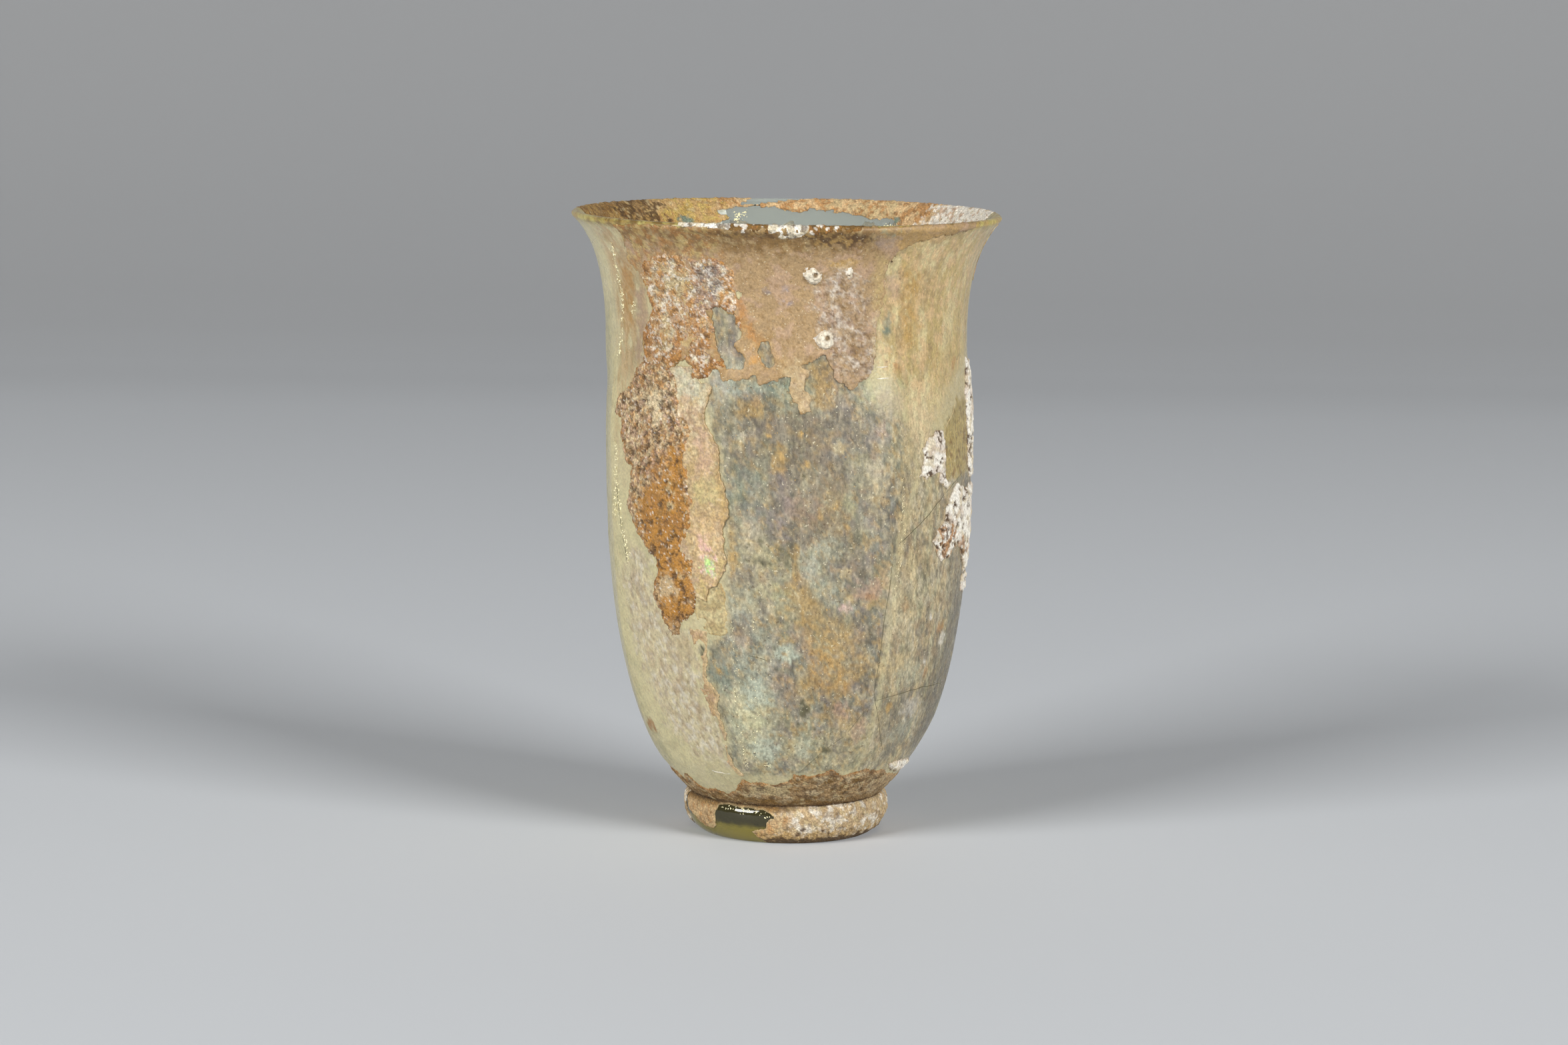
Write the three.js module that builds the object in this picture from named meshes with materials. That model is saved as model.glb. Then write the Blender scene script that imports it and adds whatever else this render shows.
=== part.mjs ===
// A small free-blown glass drinking beaker of the Roman period, standing on a ring foot.
// The body is a tall rounded cup with a waist under a flaring mouth. Seven long shallow dents run
// down it side by side, so that each pair of neighbours meets in a soft upright ridge.
// The foot is a solid ring under a pushed-in base, and the whole beaker is one piece of glass.
// Units are millimetres, Z is up, and the origin is on the ground under the middle of the mouth.

import * as THREE from 'three';

// Mouth and lip
const height = 116.5;
const rimRadius = 40;
const lipThickness = 1.3;
const flareAngle = THREE.MathUtils.degToRad( 43 );
const flareLength = 5;

// Waist and belly of the body, and how far each curve runs straight there
const waistRadius = 33.7;
const waistHeight = 93;
const waistLength = 12;
const bellyRadius = 34.3;
const bellyHeight = 75;
const bellyFullness = 57;

// Lower body, where it rises out of the foot
const neckRadius = 17.7;
const neckAngle = THREE.MathUtils.degToRad( 52 );
const neckRoundness = 7.2;

// Foot ring and the pushed-in base inside it
const footRadius = 18.7;
const footHeight = 7.2;
const contactRadius = 15.4;
const contactWidth = 1.2;
const bulgeHeight = 1.8;
const kickHeight = 3.8;
const kickRadius = 11;
const kickEdgeHeight = 3;

// Glass thickness
const bodyWall = 1.4;
const baseWall = 2.2;
const floorThickness = 3.2;
const floorRadius = 9;
const floorRoll = 4.4;
const baseWallTop = 26;

// Dents: their depth from ridge to valley, and the heights between which they run
const dentCount = 7;
const dentDepth = 1.05;
const ridgeRise = 0.4;
const firstRidge = THREE.MathUtils.degToRad( - 17.3 );
const dentBottom = 13;
const dentTop = 92;
const dentFadeBottom = 11;
const dentFadeTop = 8;

// The axis leans: the foot stands this far to the right of the mouth
const footShift = 1.3;

// Fineness of the faceted surface
const facetsPerDent = 8;
const lowerBodyRows = 11;
const bellyRows = 4;
const flareRows = 7;
const lipRows = 4;
const floorRows = 4;
const footRows = 6;
const recessRows = 4;
const kickRows = 3;

const smoothstep = THREE.MathUtils.smoothstep;

function point( radius, z ) {

	return new THREE.Vector2( radius, z );

}

function bezier( ...points ) {

	return new THREE.CubicBezierCurve( ...points );

}

// The lip is a half round on the end of the flaring wall.
const lipRadius = lipThickness / 2;
const lipCentre = point( rimRadius - lipRadius, height - lipRadius );
const flareDirection = point( Math.cos( flareAngle ), Math.sin( flareAngle ) );
const outwards = point( flareDirection.y, - flareDirection.x );

// The outside of the body in three curves, from the foot up to the lip
function bodyCurves() {

	const neck = point( neckRadius, footHeight );
	const neckHandle = point(
		neckRadius + neckRoundness * Math.cos( neckAngle ),
		footHeight + neckRoundness * Math.sin( neckAngle ),
	);
	const belly = point( bellyRadius, bellyHeight );
	const waist = point( waistRadius, waistHeight );
	const bellyToWaist = ( waistHeight - bellyHeight ) / 3;
	const rim = lipCentre.clone().addScaledVector( outwards, lipRadius );

	return [
		bezier( neck, neckHandle, point( bellyRadius, bellyHeight - bellyFullness ), belly ),
		bezier(
			belly,
			point( bellyRadius, bellyHeight + bellyToWaist ),
			point( waistRadius, waistHeight - bellyToWaist ),
			waist,
		),
		bezier(
			waist,
			point( waistRadius, waistHeight + waistLength ),
			rim.clone().addScaledVector( flareDirection, - flareLength ),
			rim,
		),
	];

}

// The wall thickens from the body's thickness to the base's near the foot, and to the lip's at the mouth.
function wallAt( z ) {

	const nearBase = 1 - smoothstep( z, footHeight, baseWallTop );
	const nearLip = smoothstep( z, waistHeight, height );
	return bodyWall + ( baseWall - bodyWall ) * nearBase + ( lipThickness - bodyWall ) * nearLip;

}

// Points on the outside, and the points across the wall from them on the inside
function bodyPoints() {

	const outside = [];
	const inside = [];
	const rows = [ lowerBodyRows, bellyRows, flareRows ];
	bodyCurves().forEach( ( curve, index ) => {

		for ( let row = index === 0 ? 0 : 1; row <= rows[ index ]; row ++ ) {

			const share = row / rows[ index ];
			const outer = curve.getPoint( share );
			const along = curve.getTangent( share );
			const inwards = point( - along.y, along.x );
			outside.push( outer );
			inside.push( outer.clone().addScaledVector( inwards, wallAt( outer.y ) ) );

		}

	} );

	return { outside, inside };

}

// The half round of the lip, between the outside and the inside
function lipPoints() {

	const points = [];
	for ( let row = 1; row < lipRows; row ++ ) {

		const turn = Math.PI * row / lipRows;
		const offset = outwards.clone().multiplyScalar( lipRadius * Math.cos( turn ) );
		points.push( lipCentre.clone().add( offset ).addScaledVector( flareDirection, lipRadius * Math.sin( turn ) ) );

	}

	return points;

}

// The inside rolls from the wall into the floor above the pushed-in base.
function floorPoints( wallEnd, wallAbove ) {

	const downwards = wallEnd.clone().sub( wallAbove ).normalize();
	const floorHeight = kickHeight + floorThickness;
	const roll = ( wallEnd.y - floorHeight ) / 2;
	const curve = bezier(
		wallEnd,
		wallEnd.clone().addScaledVector( downwards, roll ),
		point( floorRadius, floorHeight ),
		point( 0, floorHeight ),
	);
	return curve.getPoints( floorRows ).slice( 1 );

}

// The underside from the middle of the base, over the flat ring that it stands on, up to the neck
function footPoints() {

	const contactInner = contactRadius - contactWidth / 2;
	const contactOuter = contactRadius + contactWidth / 2;
	const recessRadius = ( kickRadius + 2 * contactInner ) / 3;
	// A curve with both handles at this radius swells to the foot's radius halfway up.
	const bulge = ( 8 * footRadius - neckRadius - contactOuter ) / 6;
	const kick = bezier(
		point( 0, kickHeight ),
		point( kickRadius / 3, kickHeight ),
		point( kickRadius * 2 / 3, ( kickHeight + kickEdgeHeight ) / 2 ),
		point( kickRadius, kickEdgeHeight ),
	);
	const recess = bezier(
		point( kickRadius, kickEdgeHeight ),
		point( recessRadius, kickEdgeHeight ),
		point( recessRadius, 0 ),
		point( contactInner, 0 ),
	);
	const ring = bezier(
		point( contactOuter, 0 ),
		point( bulge, bulgeHeight ),
		point( bulge, footHeight ),
		point( neckRadius, footHeight ),
	);
	return [
		...kick.getPoints( kickRows ),
		...recess.getPoints( recessRows ).slice( 1 ),
		...ring.getPoints( footRows ).slice( 0, - 1 ),
	];

}

// The closed outline of half the beaker, from the axis under the base to the axis on the floor inside
function outline() {

	const { outside, inside } = bodyPoints();
	const rollStart = inside.findIndex( ( p ) => p.y > kickHeight + floorThickness + floorRoll );
	const wall = inside.slice( rollStart, - 1 ).reverse();
	const lip = lipPoints();
	const lipInside = lipCentre.clone().addScaledVector( outwards, - lipRadius );
	return [
		...footPoints(),
		...outside,
		...lip,
		lipInside,
		...wall,
		...floorPoints( wall.at( - 1 ), wall.at( - 2 ) ),
	];

}

// How far the wall at this bearing and height lies in from its round shape
function dentAt( bearing, z ) {

	const pitch = 2 * Math.PI / dentCount;
	const turns = ( bearing - firstRidge ) / pitch;
	const fromValley = 2 * Math.abs( turns - Math.floor( turns ) - 0.5 );
	const fade = smoothstep( z, dentBottom, dentBottom + dentFadeBottom )
		* ( 1 - smoothstep( z, dentTop - dentFadeTop, dentTop ) );
	return fade * ( dentDepth * ( 1 - fromValley * fromValley ) - ridgeRise );

}

// Presses the dents into a turned shape and lets its axis lean.
function shapeBody( geometry ) {

	const position = geometry.getAttribute( 'position' );
	for ( let i = 0; i < position.count; i ++ ) {

		const x = position.getX( i );
		const y = position.getY( i );
		const z = position.getZ( i );
		const radius = Math.hypot( x, y );
		const bearing = Math.atan2( x, - y );
		const scale = radius > 0 ? ( radius - dentAt( bearing, z ) ) / radius : 1;
		position.setXYZ( i, x * scale + footShift * ( 1 - z / height ), y * scale, z );

	}

	return geometry;

}

function beaker() {

	const segments = dentCount * facetsPerDent;
	const geometry = new THREE.LatheGeometry( outline(), segments, firstRidge );
	geometry.rotateX( Math.PI / 2 );
	const glass = new THREE.MeshStandardMaterial( {
		color: 0xc6bb93,
		roughness: 0.45,
		metalness: 0,
		transparent: true,
		opacity: 0.85,
	} );
	const mesh = new THREE.Mesh( shapeBody( geometry ), glass );
	mesh.name = 'beaker';
	return mesh;

}

const model = new THREE.Group();
model.add( beaker() );

export default model;
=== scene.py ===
from functools import partial
from math import cos, pi, radians, sin

import bpy
import numpy as np
from bpy.props import FloatProperty, FloatVectorProperty, PointerProperty
from bpy.types import Operator, Panel, PropertyGroup
from mathutils import Matrix, Vector


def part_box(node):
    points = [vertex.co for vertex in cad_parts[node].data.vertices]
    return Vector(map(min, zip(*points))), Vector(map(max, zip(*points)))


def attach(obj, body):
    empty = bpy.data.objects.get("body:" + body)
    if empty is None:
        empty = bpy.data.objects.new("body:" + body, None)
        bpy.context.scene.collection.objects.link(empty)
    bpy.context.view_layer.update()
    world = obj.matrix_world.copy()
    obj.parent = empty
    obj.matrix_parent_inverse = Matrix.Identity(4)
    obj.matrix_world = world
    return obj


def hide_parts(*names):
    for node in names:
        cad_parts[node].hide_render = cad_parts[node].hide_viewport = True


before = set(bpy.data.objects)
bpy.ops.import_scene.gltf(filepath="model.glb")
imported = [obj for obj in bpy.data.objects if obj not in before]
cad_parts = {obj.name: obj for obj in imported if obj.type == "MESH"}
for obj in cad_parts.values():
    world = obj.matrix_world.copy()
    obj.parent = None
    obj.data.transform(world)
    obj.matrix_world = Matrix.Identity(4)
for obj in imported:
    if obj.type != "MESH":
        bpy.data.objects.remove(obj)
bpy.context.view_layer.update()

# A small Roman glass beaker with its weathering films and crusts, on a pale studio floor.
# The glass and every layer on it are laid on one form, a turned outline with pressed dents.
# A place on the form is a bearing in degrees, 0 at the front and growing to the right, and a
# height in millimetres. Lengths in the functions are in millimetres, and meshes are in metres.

bl_info = {
    "name": "Weathered glass beaker",
    "version": (1, 0, 0),
    "blender": (4, 5, 0),
    "location": "3D View > Sidebar > Beaker",
    "description": "A Roman glass beaker with its weathering films, soil and lime crusts",
    "category": "Object",
}

MM = 0.001
LOW_CORNER, HIGH_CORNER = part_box("beaker")


def linear(red, green, blue):
    """A colour given as it looks on a screen, from 0 to 255, as light for a shader."""
    shown = np.array([red, green, blue]) / 255
    return tuple(float(c) for c in np.where(shown < 0.04045, shown / 12.92, ((shown + 0.055) / 1.055) ** 2.4))


def length(name, description, millimetres):
    """A length in the sidebar, stored in metres."""
    return FloatProperty(
        name=name, description=description, default=millimetres * MM, unit="LENGTH", precision=5
    )


def colour(description, red, green, blue):
    """A colour in the sidebar, given as it looks on a screen."""
    return FloatVectorProperty(
        name=description.split(",")[0], description=description, default=linear(red, green, blue),
        subtype="COLOR", min=0, max=1,
    )


class BeakerSizes(PropertyGroup):
    """Sizes of the glass"""

    height: length("Height", "From the ground to the top of the lip", HIGH_CORNER[2] / MM)
    rim_radius: length("Rim radius", "Outer radius of the lip", (HIGH_CORNER[0] - LOW_CORNER[0]) / 2 / MM)
    lip: length("Lip", "Thickness of the rounded lip", 1.3)
    wall: length("Wall", "Thickness of the body", 1.4)
    base_wall: length("Base wall", "Thickness of the wall just above the foot", 2.2)
    waist_radius: length("Waist radius", "Radius of the waist under the mouth", 33.7)
    belly_radius: length("Belly radius", "Largest radius of the body", 34.3)
    neck_radius: length("Neck radius", "Radius where the body meets the foot", 17.7)
    foot_radius: length("Foot radius", "Largest radius of the foot ring", 18.7)
    foot_height: length("Foot height", "Height of the foot ring", 7.2)
    dent_depth: length("Dent depth", "Depth of a dent from its ridge to its valley", 1.05)
    lean: length("Lean", "How far the foot stands to the right of the mouth", 1.3)


class CrustSizes(PropertyGroup):
    """Thicknesses of the layers on the glass"""

    rust: length("Soil crust", "Thickness of the brown crust on the body", 0.55)
    film: length("Film", "Thickness of the tan and cream films", 0.16)
    lime: length("Lime", "Thickness of the white lime", 0.5)
    grit: length("Grit", "Thickness of the grit on the foot", 0.5)
    rim: length("Rim crust", "Thickness of the crust on the lip and inside the mouth", 0.4)


class BeakerColours(PropertyGroup):
    """Colours of the glass and its layers"""

    haze: colour("Pale frosted glass", 222, 211, 163)
    beige: colour("Grainy beige film on the glass", 218, 203, 166)
    moss: colour("Greenish edge of the glass", 162, 158, 118)
    grey: colour("Grey glass in the middle", 104, 99, 86)
    taupe: colour("Brownish grey mottling", 112, 100, 84)
    slate: colour("Dark olive grey marks", 88, 84, 58)
    cool: colour("Pale bluish discs", 172, 178, 158)
    teal: colour("Green grey tinge", 112, 134, 120)
    mint: colour("Pale green sheen", 176, 182, 138)
    ochre: colour("Yellow brown stains", 176, 142, 82)
    blush: colour("Pinkish stains", 180, 150, 130)
    cream: colour("Cream film", 192, 172, 128)
    straw: colour("Yellow cream film", 188, 167, 108)
    tan: colour("Tan film under the rim", 157, 130, 92)
    lilac: colour("Violet grey flakes", 140, 128, 126)
    pink: colour("Pink sheen of the flaking film", 216, 172, 162)
    green: colour("Green sheen of the flaking film", 184, 226, 132)
    amber: colour("Shining amber crust", 184, 128, 44)
    rust: colour("Orange brown crust", 166, 114, 56)
    clay: colour("Pinkish brown crust", 205, 172, 126)
    soil: colour("Brown soil on the neck", 120, 89, 40)
    umber: colour("Dark brown pits", 76, 52, 26)
    lime: colour("White lime", 236, 230, 216)
    grit: colour("Sandy grit on the foot", 190, 166, 128)
    # Flakes of weathered film, made near white so they also stand in as painted glints
    gold: colour("Glinting flakes", 252, 242, 196)
    olive: colour("Clear olive glass", 196, 180, 80)
    clear: colour("Clear glass of the mouth", 212, 218, 208)
    floor: colour("Studio floor", 206, 209, 212)
    # painted shade: the backdrop's colour is the floor's darkened where less light reaches up the cove
    backdrop: colour("Studio backdrop", 168, 169, 170)


# Form of the beaker

WAIST_HEIGHT, WAIST_LENGTH = 93, 12
BELLY_HEIGHT, BELLY_FULLNESS = 75, 57
FLARE_ANGLE, FLARE_LENGTH = radians(43), 5
NECK_ANGLE, NECK_ROUNDNESS = radians(52), 7.2
BASE_WALL_TOP = 26
CONTACT_RADIUS, CONTACT_WIDTH, BULGE_HEIGHT = 15.4, 1.2, 1.8
KICK_HEIGHT, KICK_RADIUS, KICK_EDGE_HEIGHT = 3.8, 11, 3
FLOOR_THICKNESS, FLOOR_RADIUS, FLOOR_ROLL = 3.2, 9, 4.4
DENT_COUNT, RIDGE_RISE, FIRST_RIDGE = 7, 0.4, radians(-17.3)
DENT_BOTTOM, DENT_FADE_BOTTOM, DENT_TOP, DENT_FADE_TOP = 13, 11, 92, 8

# How many points each curve of the outline has, and over how many the wall's way down is taken
LOWER_POINTS, UPPER_POINTS, FLARE_POINTS, LIP_POINTS = 400, 100, 200, 40
ROLL_POINTS, RING_POINTS, HOLLOW_POINTS, KICK_POINTS, WALL_RUN = 60, 120, 60, 40, 8


def ease(value, low, high):
    """A smooth step from 0 at low to 1 at high."""
    share = np.clip((value - low) / (high - low), 0, 1)
    return share * share * (3 - 2 * share)


def pairs(numbers):
    """Corners from bearings and heights in turn."""
    return list(zip(numbers[::2], numbers[1::2]))


def bezier(start, first, second, end, steps):
    """Points along a cubic curve."""
    share = np.linspace(0, 1, steps)[:, None]
    rest = 1 - share
    start, first, second, end = (np.array(p, float) for p in (start, first, second, end))
    return rest**3 * start + 3 * rest**2 * share * first + 3 * rest * share**2 * second + share**3 * end


class Form:
    """The beaker's skin as a route from the floor inside, over the lip, down to the base."""

    def __init__(self, sizes, shades):
        self.shades = shades
        self.height = sizes.height / MM
        self.lean = sizes.lean / MM
        self.dent_depth = sizes.dent_depth / MM
        self.belly = sizes.belly_radius / MM
        outside, lip = self.body(sizes)
        inside = self.inside_of(outside, sizes)
        stretches = [inside, lip, outside[::-1], self.foot(sizes)]
        route = np.vstack([stretches[0]] + [part[1:] for part in stretches[1:]])
        self.radius, self.level = route.T
        self.travel = np.concatenate([[0], np.cumsum(np.hypot(*np.diff(route, axis=0).T))])
        ends = np.cumsum([len(part) for part in stretches]) - np.arange(1, 5)
        self.lip_start, self.lip_end, self.neck, self.base = self.travel[ends]
        self.inner_range = slice(0, ends[0] + 1)
        touching = ends[2] + int(np.argmax(self.level[ends[2]:] <= 0.001))
        self.outer_range = slice(ends[1], touching + 1)
        self.contact = self.travel[touching]

    def body(self, sizes):
        """The outside of the body from the neck up, and the half round of the lip going outwards."""
        waist = sizes.waist_radius / MM
        belly = sizes.belly_radius / MM
        neck = sizes.neck_radius / MM
        foot_height = sizes.foot_height / MM
        half_lip = sizes.lip / MM / 2
        along = np.array([cos(FLARE_ANGLE), sin(FLARE_ANGLE)])
        outwards = np.array([along[1], -along[0]])
        centre = np.array([sizes.rim_radius / MM - half_lip, self.height - half_lip])
        rim = centre + outwards * half_lip
        third = (WAIST_HEIGHT - BELLY_HEIGHT) / 3
        neck_end = (neck, foot_height)
        out, up = NECK_ROUNDNESS * cos(NECK_ANGLE), NECK_ROUNDNESS * sin(NECK_ANGLE)
        neck_handle = (neck + out, foot_height + up)
        belly_end = (belly, BELLY_HEIGHT)
        waist_end = (waist, WAIST_HEIGHT)
        belly_low = (belly, BELLY_HEIGHT - BELLY_FULLNESS)
        belly_high = (belly, BELLY_HEIGHT + third)
        waist_low = (waist, WAIST_HEIGHT - third)
        waist_high = (waist, WAIST_HEIGHT + WAIST_LENGTH)
        lower = bezier(neck_end, neck_handle, belly_low, belly_end, LOWER_POINTS)
        upper = bezier(belly_end, belly_high, waist_low, waist_end, UPPER_POINTS)
        flare = bezier(waist_end, waist_high, rim - along * FLARE_LENGTH, rim, FLARE_POINTS)
        turn = np.linspace(pi, 0, LIP_POINTS)[:, None]
        lip = centre + outwards * half_lip * np.cos(turn) + along * half_lip * np.sin(turn)
        return np.vstack([lower, upper[1:], flare[1:]]), lip

    def inside_of(self, outside, sizes):
        """The inside from the middle of the floor up to the lip."""
        heights = outside[:, 1]
        near_base = 1 - ease(heights, sizes.foot_height / MM, BASE_WALL_TOP)
        near_lip = ease(heights, WAIST_HEIGHT, self.height)
        wall = sizes.wall + (sizes.base_wall - sizes.wall) * near_base + (sizes.lip - sizes.wall) * near_lip
        tangent = np.gradient(outside, axis=0)
        tangent /= np.hypot(*tangent.T)[:, None]
        inside = outside + np.column_stack([-tangent[:, 1], tangent[:, 0]]) * wall[:, None] / MM
        floor = KICK_HEIGHT + FLOOR_THICKNESS
        inside = inside[inside[:, 1] > floor + FLOOR_ROLL]
        down = inside[0] - inside[WALL_RUN]
        down /= np.hypot(*down)
        roll = (inside[0][1] - floor) / 2
        rolled = bezier(inside[0], inside[0] + down * roll, (FLOOR_RADIUS, floor), (0, floor), ROLL_POINTS)
        return np.vstack([rolled[:0:-1], inside])

    def foot(self, sizes):
        """The foot ring from the neck down, and the pushed-in base up to its middle."""
        neck = sizes.neck_radius / MM
        foot_height = sizes.foot_height / MM
        outer = CONTACT_RADIUS + CONTACT_WIDTH / 2
        inner = CONTACT_RADIUS - CONTACT_WIDTH / 2
        bulge = (8 * sizes.foot_radius / MM - neck - outer) / 6
        recess = (KICK_RADIUS + 2 * inner) / 3
        kick_edge = (KICK_RADIUS, KICK_EDGE_HEIGHT)
        kick_mid = (KICK_RADIUS * 2 / 3, (KICK_HEIGHT + KICK_EDGE_HEIGHT) / 2)
        top, swell = (neck, foot_height), (bulge, foot_height)
        ring = bezier(top, swell, (bulge, BULGE_HEIGHT), (outer, 0), RING_POINTS)
        hollow = bezier((inner, 0), (recess, 0), (recess, KICK_EDGE_HEIGHT), kick_edge, HOLLOW_POINTS)
        kick = bezier(kick_edge, kick_mid, (KICK_RADIUS / 3, KICK_HEIGHT), (0, KICK_HEIGHT), KICK_POINTS)
        return np.vstack([ring, hollow, kick[1:]])

    def outer(self, height):
        """The travel to a height on the outside. Heights above the rim go on over the lip."""
        part = self.outer_range
        height = np.asarray(height, float)
        over = np.maximum(height - self.level[part][0], 0)
        return np.interp(-height, -self.level[part], self.travel[part]) - over

    def inner(self, height):
        """The travel to a height on the inside. Heights above the rim go on over the lip."""
        part = self.inner_range
        height = np.asarray(height, float)
        over = np.maximum(height - self.level[part][-1], 0)
        return np.interp(height, self.level[part], self.travel[part]) + over

    def place(self, bearing, travel):
        """Points on the skin, for bearings in radians."""
        radius = np.interp(travel, self.travel, self.radius)
        height = np.interp(travel, self.travel, self.level)
        turns = (bearing - FIRST_RIDGE) * DENT_COUNT / (2 * pi)
        from_valley = 2 * np.abs(turns - np.floor(turns) - 0.5)
        fade = ease(height, DENT_BOTTOM, DENT_BOTTOM + DENT_FADE_BOTTOM)
        fade = fade * (1 - ease(height, DENT_TOP - DENT_FADE_TOP, DENT_TOP))
        radius = radius - fade * (self.dent_depth * (1 - from_valley**2) - RIDGE_RISE)
        x = radius * np.sin(bearing) + self.lean * (1 - height / self.height)
        return np.stack([x, -radius * np.cos(bearing), height], axis=-1)

    def facing(self, bearing, travel):
        """Which way the skin faces, out of the glass."""
        small = 0.01
        along = self.place(bearing, travel + small) - self.place(bearing, travel - small)
        around = self.place(bearing + small, travel) - self.place(bearing - small, travel)
        normal = np.cross(along, around)
        return normal / np.linalg.norm(normal, axis=-1, keepdims=True).clip(1e-9)


# Repeatable random patterns, all measured in millimetres

RANDOM = np.random.default_rng(11)
TABLE = 1024
ORDER = RANDOM.permutation(TABLE)
NUMBERS = RANDOM.random(TABLE)
SLOPES = RANDOM.normal(size=(TABLE, 3))
SLOPES /= np.linalg.norm(SLOPES, axis=1, keepdims=True)
TILT = np.linalg.qr(RANDOM.normal(size=(3, 3)))[0]
# How far seeds lie apart in the tables, and where a grain's centre and number are looked up
SEED_STRIDE, CENTRE_PICKS, NUMBER_PICK = 31, np.array([0, 3, 7]), 11
# How much weaker each finer layer of clouds is, the contrast of all, and a distance beyond any grain
LAYER_SHARE, CONTRAST, FAR_OFF = 0.65, 0.8, 9.0


def lookup(cells, seed):
    """The place in the random tables for each whole-numbered cell."""
    x, y, z = np.moveaxis(cells.astype(int) + SEED_STRIDE * seed, -1, 0)
    return ORDER[(ORDER[(ORDER[x % TABLE] + y) % TABLE] + z) % TABLE]


def clouds(points, size, seed):
    """Smooth random values around zero that change over about the given size."""
    spots = points @ TILT / size
    corner = np.floor(spots)
    share = spots - corner
    smooth = share**3 * (share * (share * 6 - 15) + 10)
    total = 0
    for step in np.ndindex(2, 2, 2):
        weight = np.prod(np.where(step, smooth, 1 - smooth), axis=-1)
        total = total + weight * np.sum(SLOPES[lookup(corner + step, seed)] * (share - step), axis=-1)
    return total


def mottle(points, size, seed, layers=4):
    """Layered clouds from 0 to 1 around a half, with finer layers weaker."""
    total = sum(
        LAYER_SHARE**layer * clouds(points, size / 2**layer, seed + layer) for layer in range(layers)
    )
    return np.clip(0.5 + CONTRAST * total, 0, 1)


def grains(points, size, seed):
    """Each point's distance to its nearest scattered grain, the gap to the next one, and a number."""
    spots = points / size
    corner = np.floor(spots)
    nearest = np.full(points.shape[:-1], FAR_OFF)
    second = nearest.copy()
    number = np.zeros(points.shape[:-1])
    for step in np.ndindex(3, 3, 3):
        cell = corner + np.array(step) - 1
        place = lookup(cell, seed)
        centre = cell + NUMBERS[place[..., None] - CENTRE_PICKS]
        gap = np.linalg.norm(spots - centre, axis=-1)
        closer = gap < nearest
        second = np.where(closer, nearest, np.minimum(second, gap))
        nearest = np.where(closer, gap, nearest)
        number = np.where(closer, NUMBERS[place - NUMBER_PICK], number)
    return nearest, second - nearest, number


def line_gap(spots, line):
    """The distance from each spot to a line of corners."""
    nearest = np.full(len(spots), np.inf)
    for start, end in zip(line, line[1:]):
        edge = end - start
        share = np.clip((spots - start) @ edge / max(edge @ edge, 1e-9), 0, 1)
        nearest = np.minimum(nearest, np.linalg.norm(spots - start - share[:, None] * edge, axis=1))
    return nearest


def depth_inside(spots, outline):
    """How far each spot lies inside a closed outline, negative outside."""
    closed = np.vstack([outline, outline[:1]])
    inside = np.zeros(len(spots), bool)
    for start, end in zip(closed, closed[1:]):
        crosses = (start[1] > spots[:, 1]) != (end[1] > spots[:, 1])
        rise = end[1] - start[1] or 1
        inside ^= crosses & (spots[:, 0] < start[0] + (spots[:, 1] - start[1]) * (end[0] - start[0]) / rise)
    return np.where(inside, 1, -1) * line_gap(spots, closed)


class Skin:
    """Points on the form, with what the layers need to know about them."""

    def __init__(self, form, bearing, travel, reach, inside):
        self.bearing = np.degrees(bearing)
        self.height = np.interp(travel, form.travel, form.level)
        self.points = form.place(bearing, travel)
        self.flat = np.column_stack([bearing * reach, travel])
        self.reach = reach
        self.shades = form.shades
        self.to_travel = form.inner if inside else form.outer
        self.waver = self.mottle(1.5, 31) - 0.5

    def lay_flat(self, corners):
        """Bearings and heights as lengths around and along the form."""
        bearings, heights = np.array(corners, float).T
        return np.column_stack([np.radians(bearings) * self.reach, self.to_travel(heights)])

    def depth(self, corners):
        """How far each point lies inside an outline of bearings and heights."""
        return depth_inside(self.flat, self.lay_flat(corners))

    def area(self, corners, soft=0.4):
        """1 inside an outline and 0 outside, with a soft and wavering edge."""
        return ease(self.depth(corners) + 2 * self.waver, -soft, soft)

    def blot(self, bearing, height, half_width, half_height):
        """1 inside an oval and 0 outside, with a wavering edge."""
        gap = (self.flat - self.lay_flat([(bearing, height)])) / (half_width, half_height)
        return ease(1 - np.hypot(*gap.T) + 1.1 * self.waver, -0.1, 0.35)

    def mottle(self, size, seed, layers=4):
        return mottle(self.points, size, seed, layers)

    def patches(self, size, seed, low, high, stretch=1):
        """Mottling of a size and a seed, eased from 0 at low to 1 at high and drawn out upwards."""
        return ease(mottle(self.points / (1, 1, stretch), size, seed), low, high)

    def streaks(self, size, seed, low, high, stretch=4):
        """Patches drawn out upwards."""
        return self.patches(size, seed, low, high, stretch)

    def grains(self, size, seed):
        return grains(self.points, size, seed)

    def paint(self, tone, *coats):
        """A colour with coats laid over it in turn, each a share for every point and a colour's name."""
        tone = self.shades[tone] if isinstance(tone, str) else tone
        for share, name in coats:
            tone = tone + (self.shades[name] - tone) * np.reshape(np.clip(share, 0, 1), (-1, 1))
        return tone

    def broken(self):
        """1 in the gaps that break up a coloured area and 0 between them."""
        return ease(-self.mottle(1.3, 281), -0.55, -0.4)

    def paint_areas(self, tone, areas, gaps=0.0):
        """A colour with the listed coloured areas laid over it, weaker in the gaps."""
        whole = 1 - gaps * self.broken()
        for name, strength, soft, *corners in areas:
            tone = self.paint(tone, (strength * whole * self.area(pairs(corners), soft), name))
        return tone


# Meshes


def new_mesh(name, points, faces):
    """A smooth object from points in millimetres and faces."""
    mesh = bpy.data.meshes.new(name)
    mesh.from_pydata((points * MM).tolist(), [], faces)
    mesh.polygons.foreach_set("use_smooth", [True] * len(mesh.polygons))
    mesh.update()
    piece = bpy.data.objects.new(name, mesh)
    bpy.context.collection.objects.link(piece)
    return piece


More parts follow.
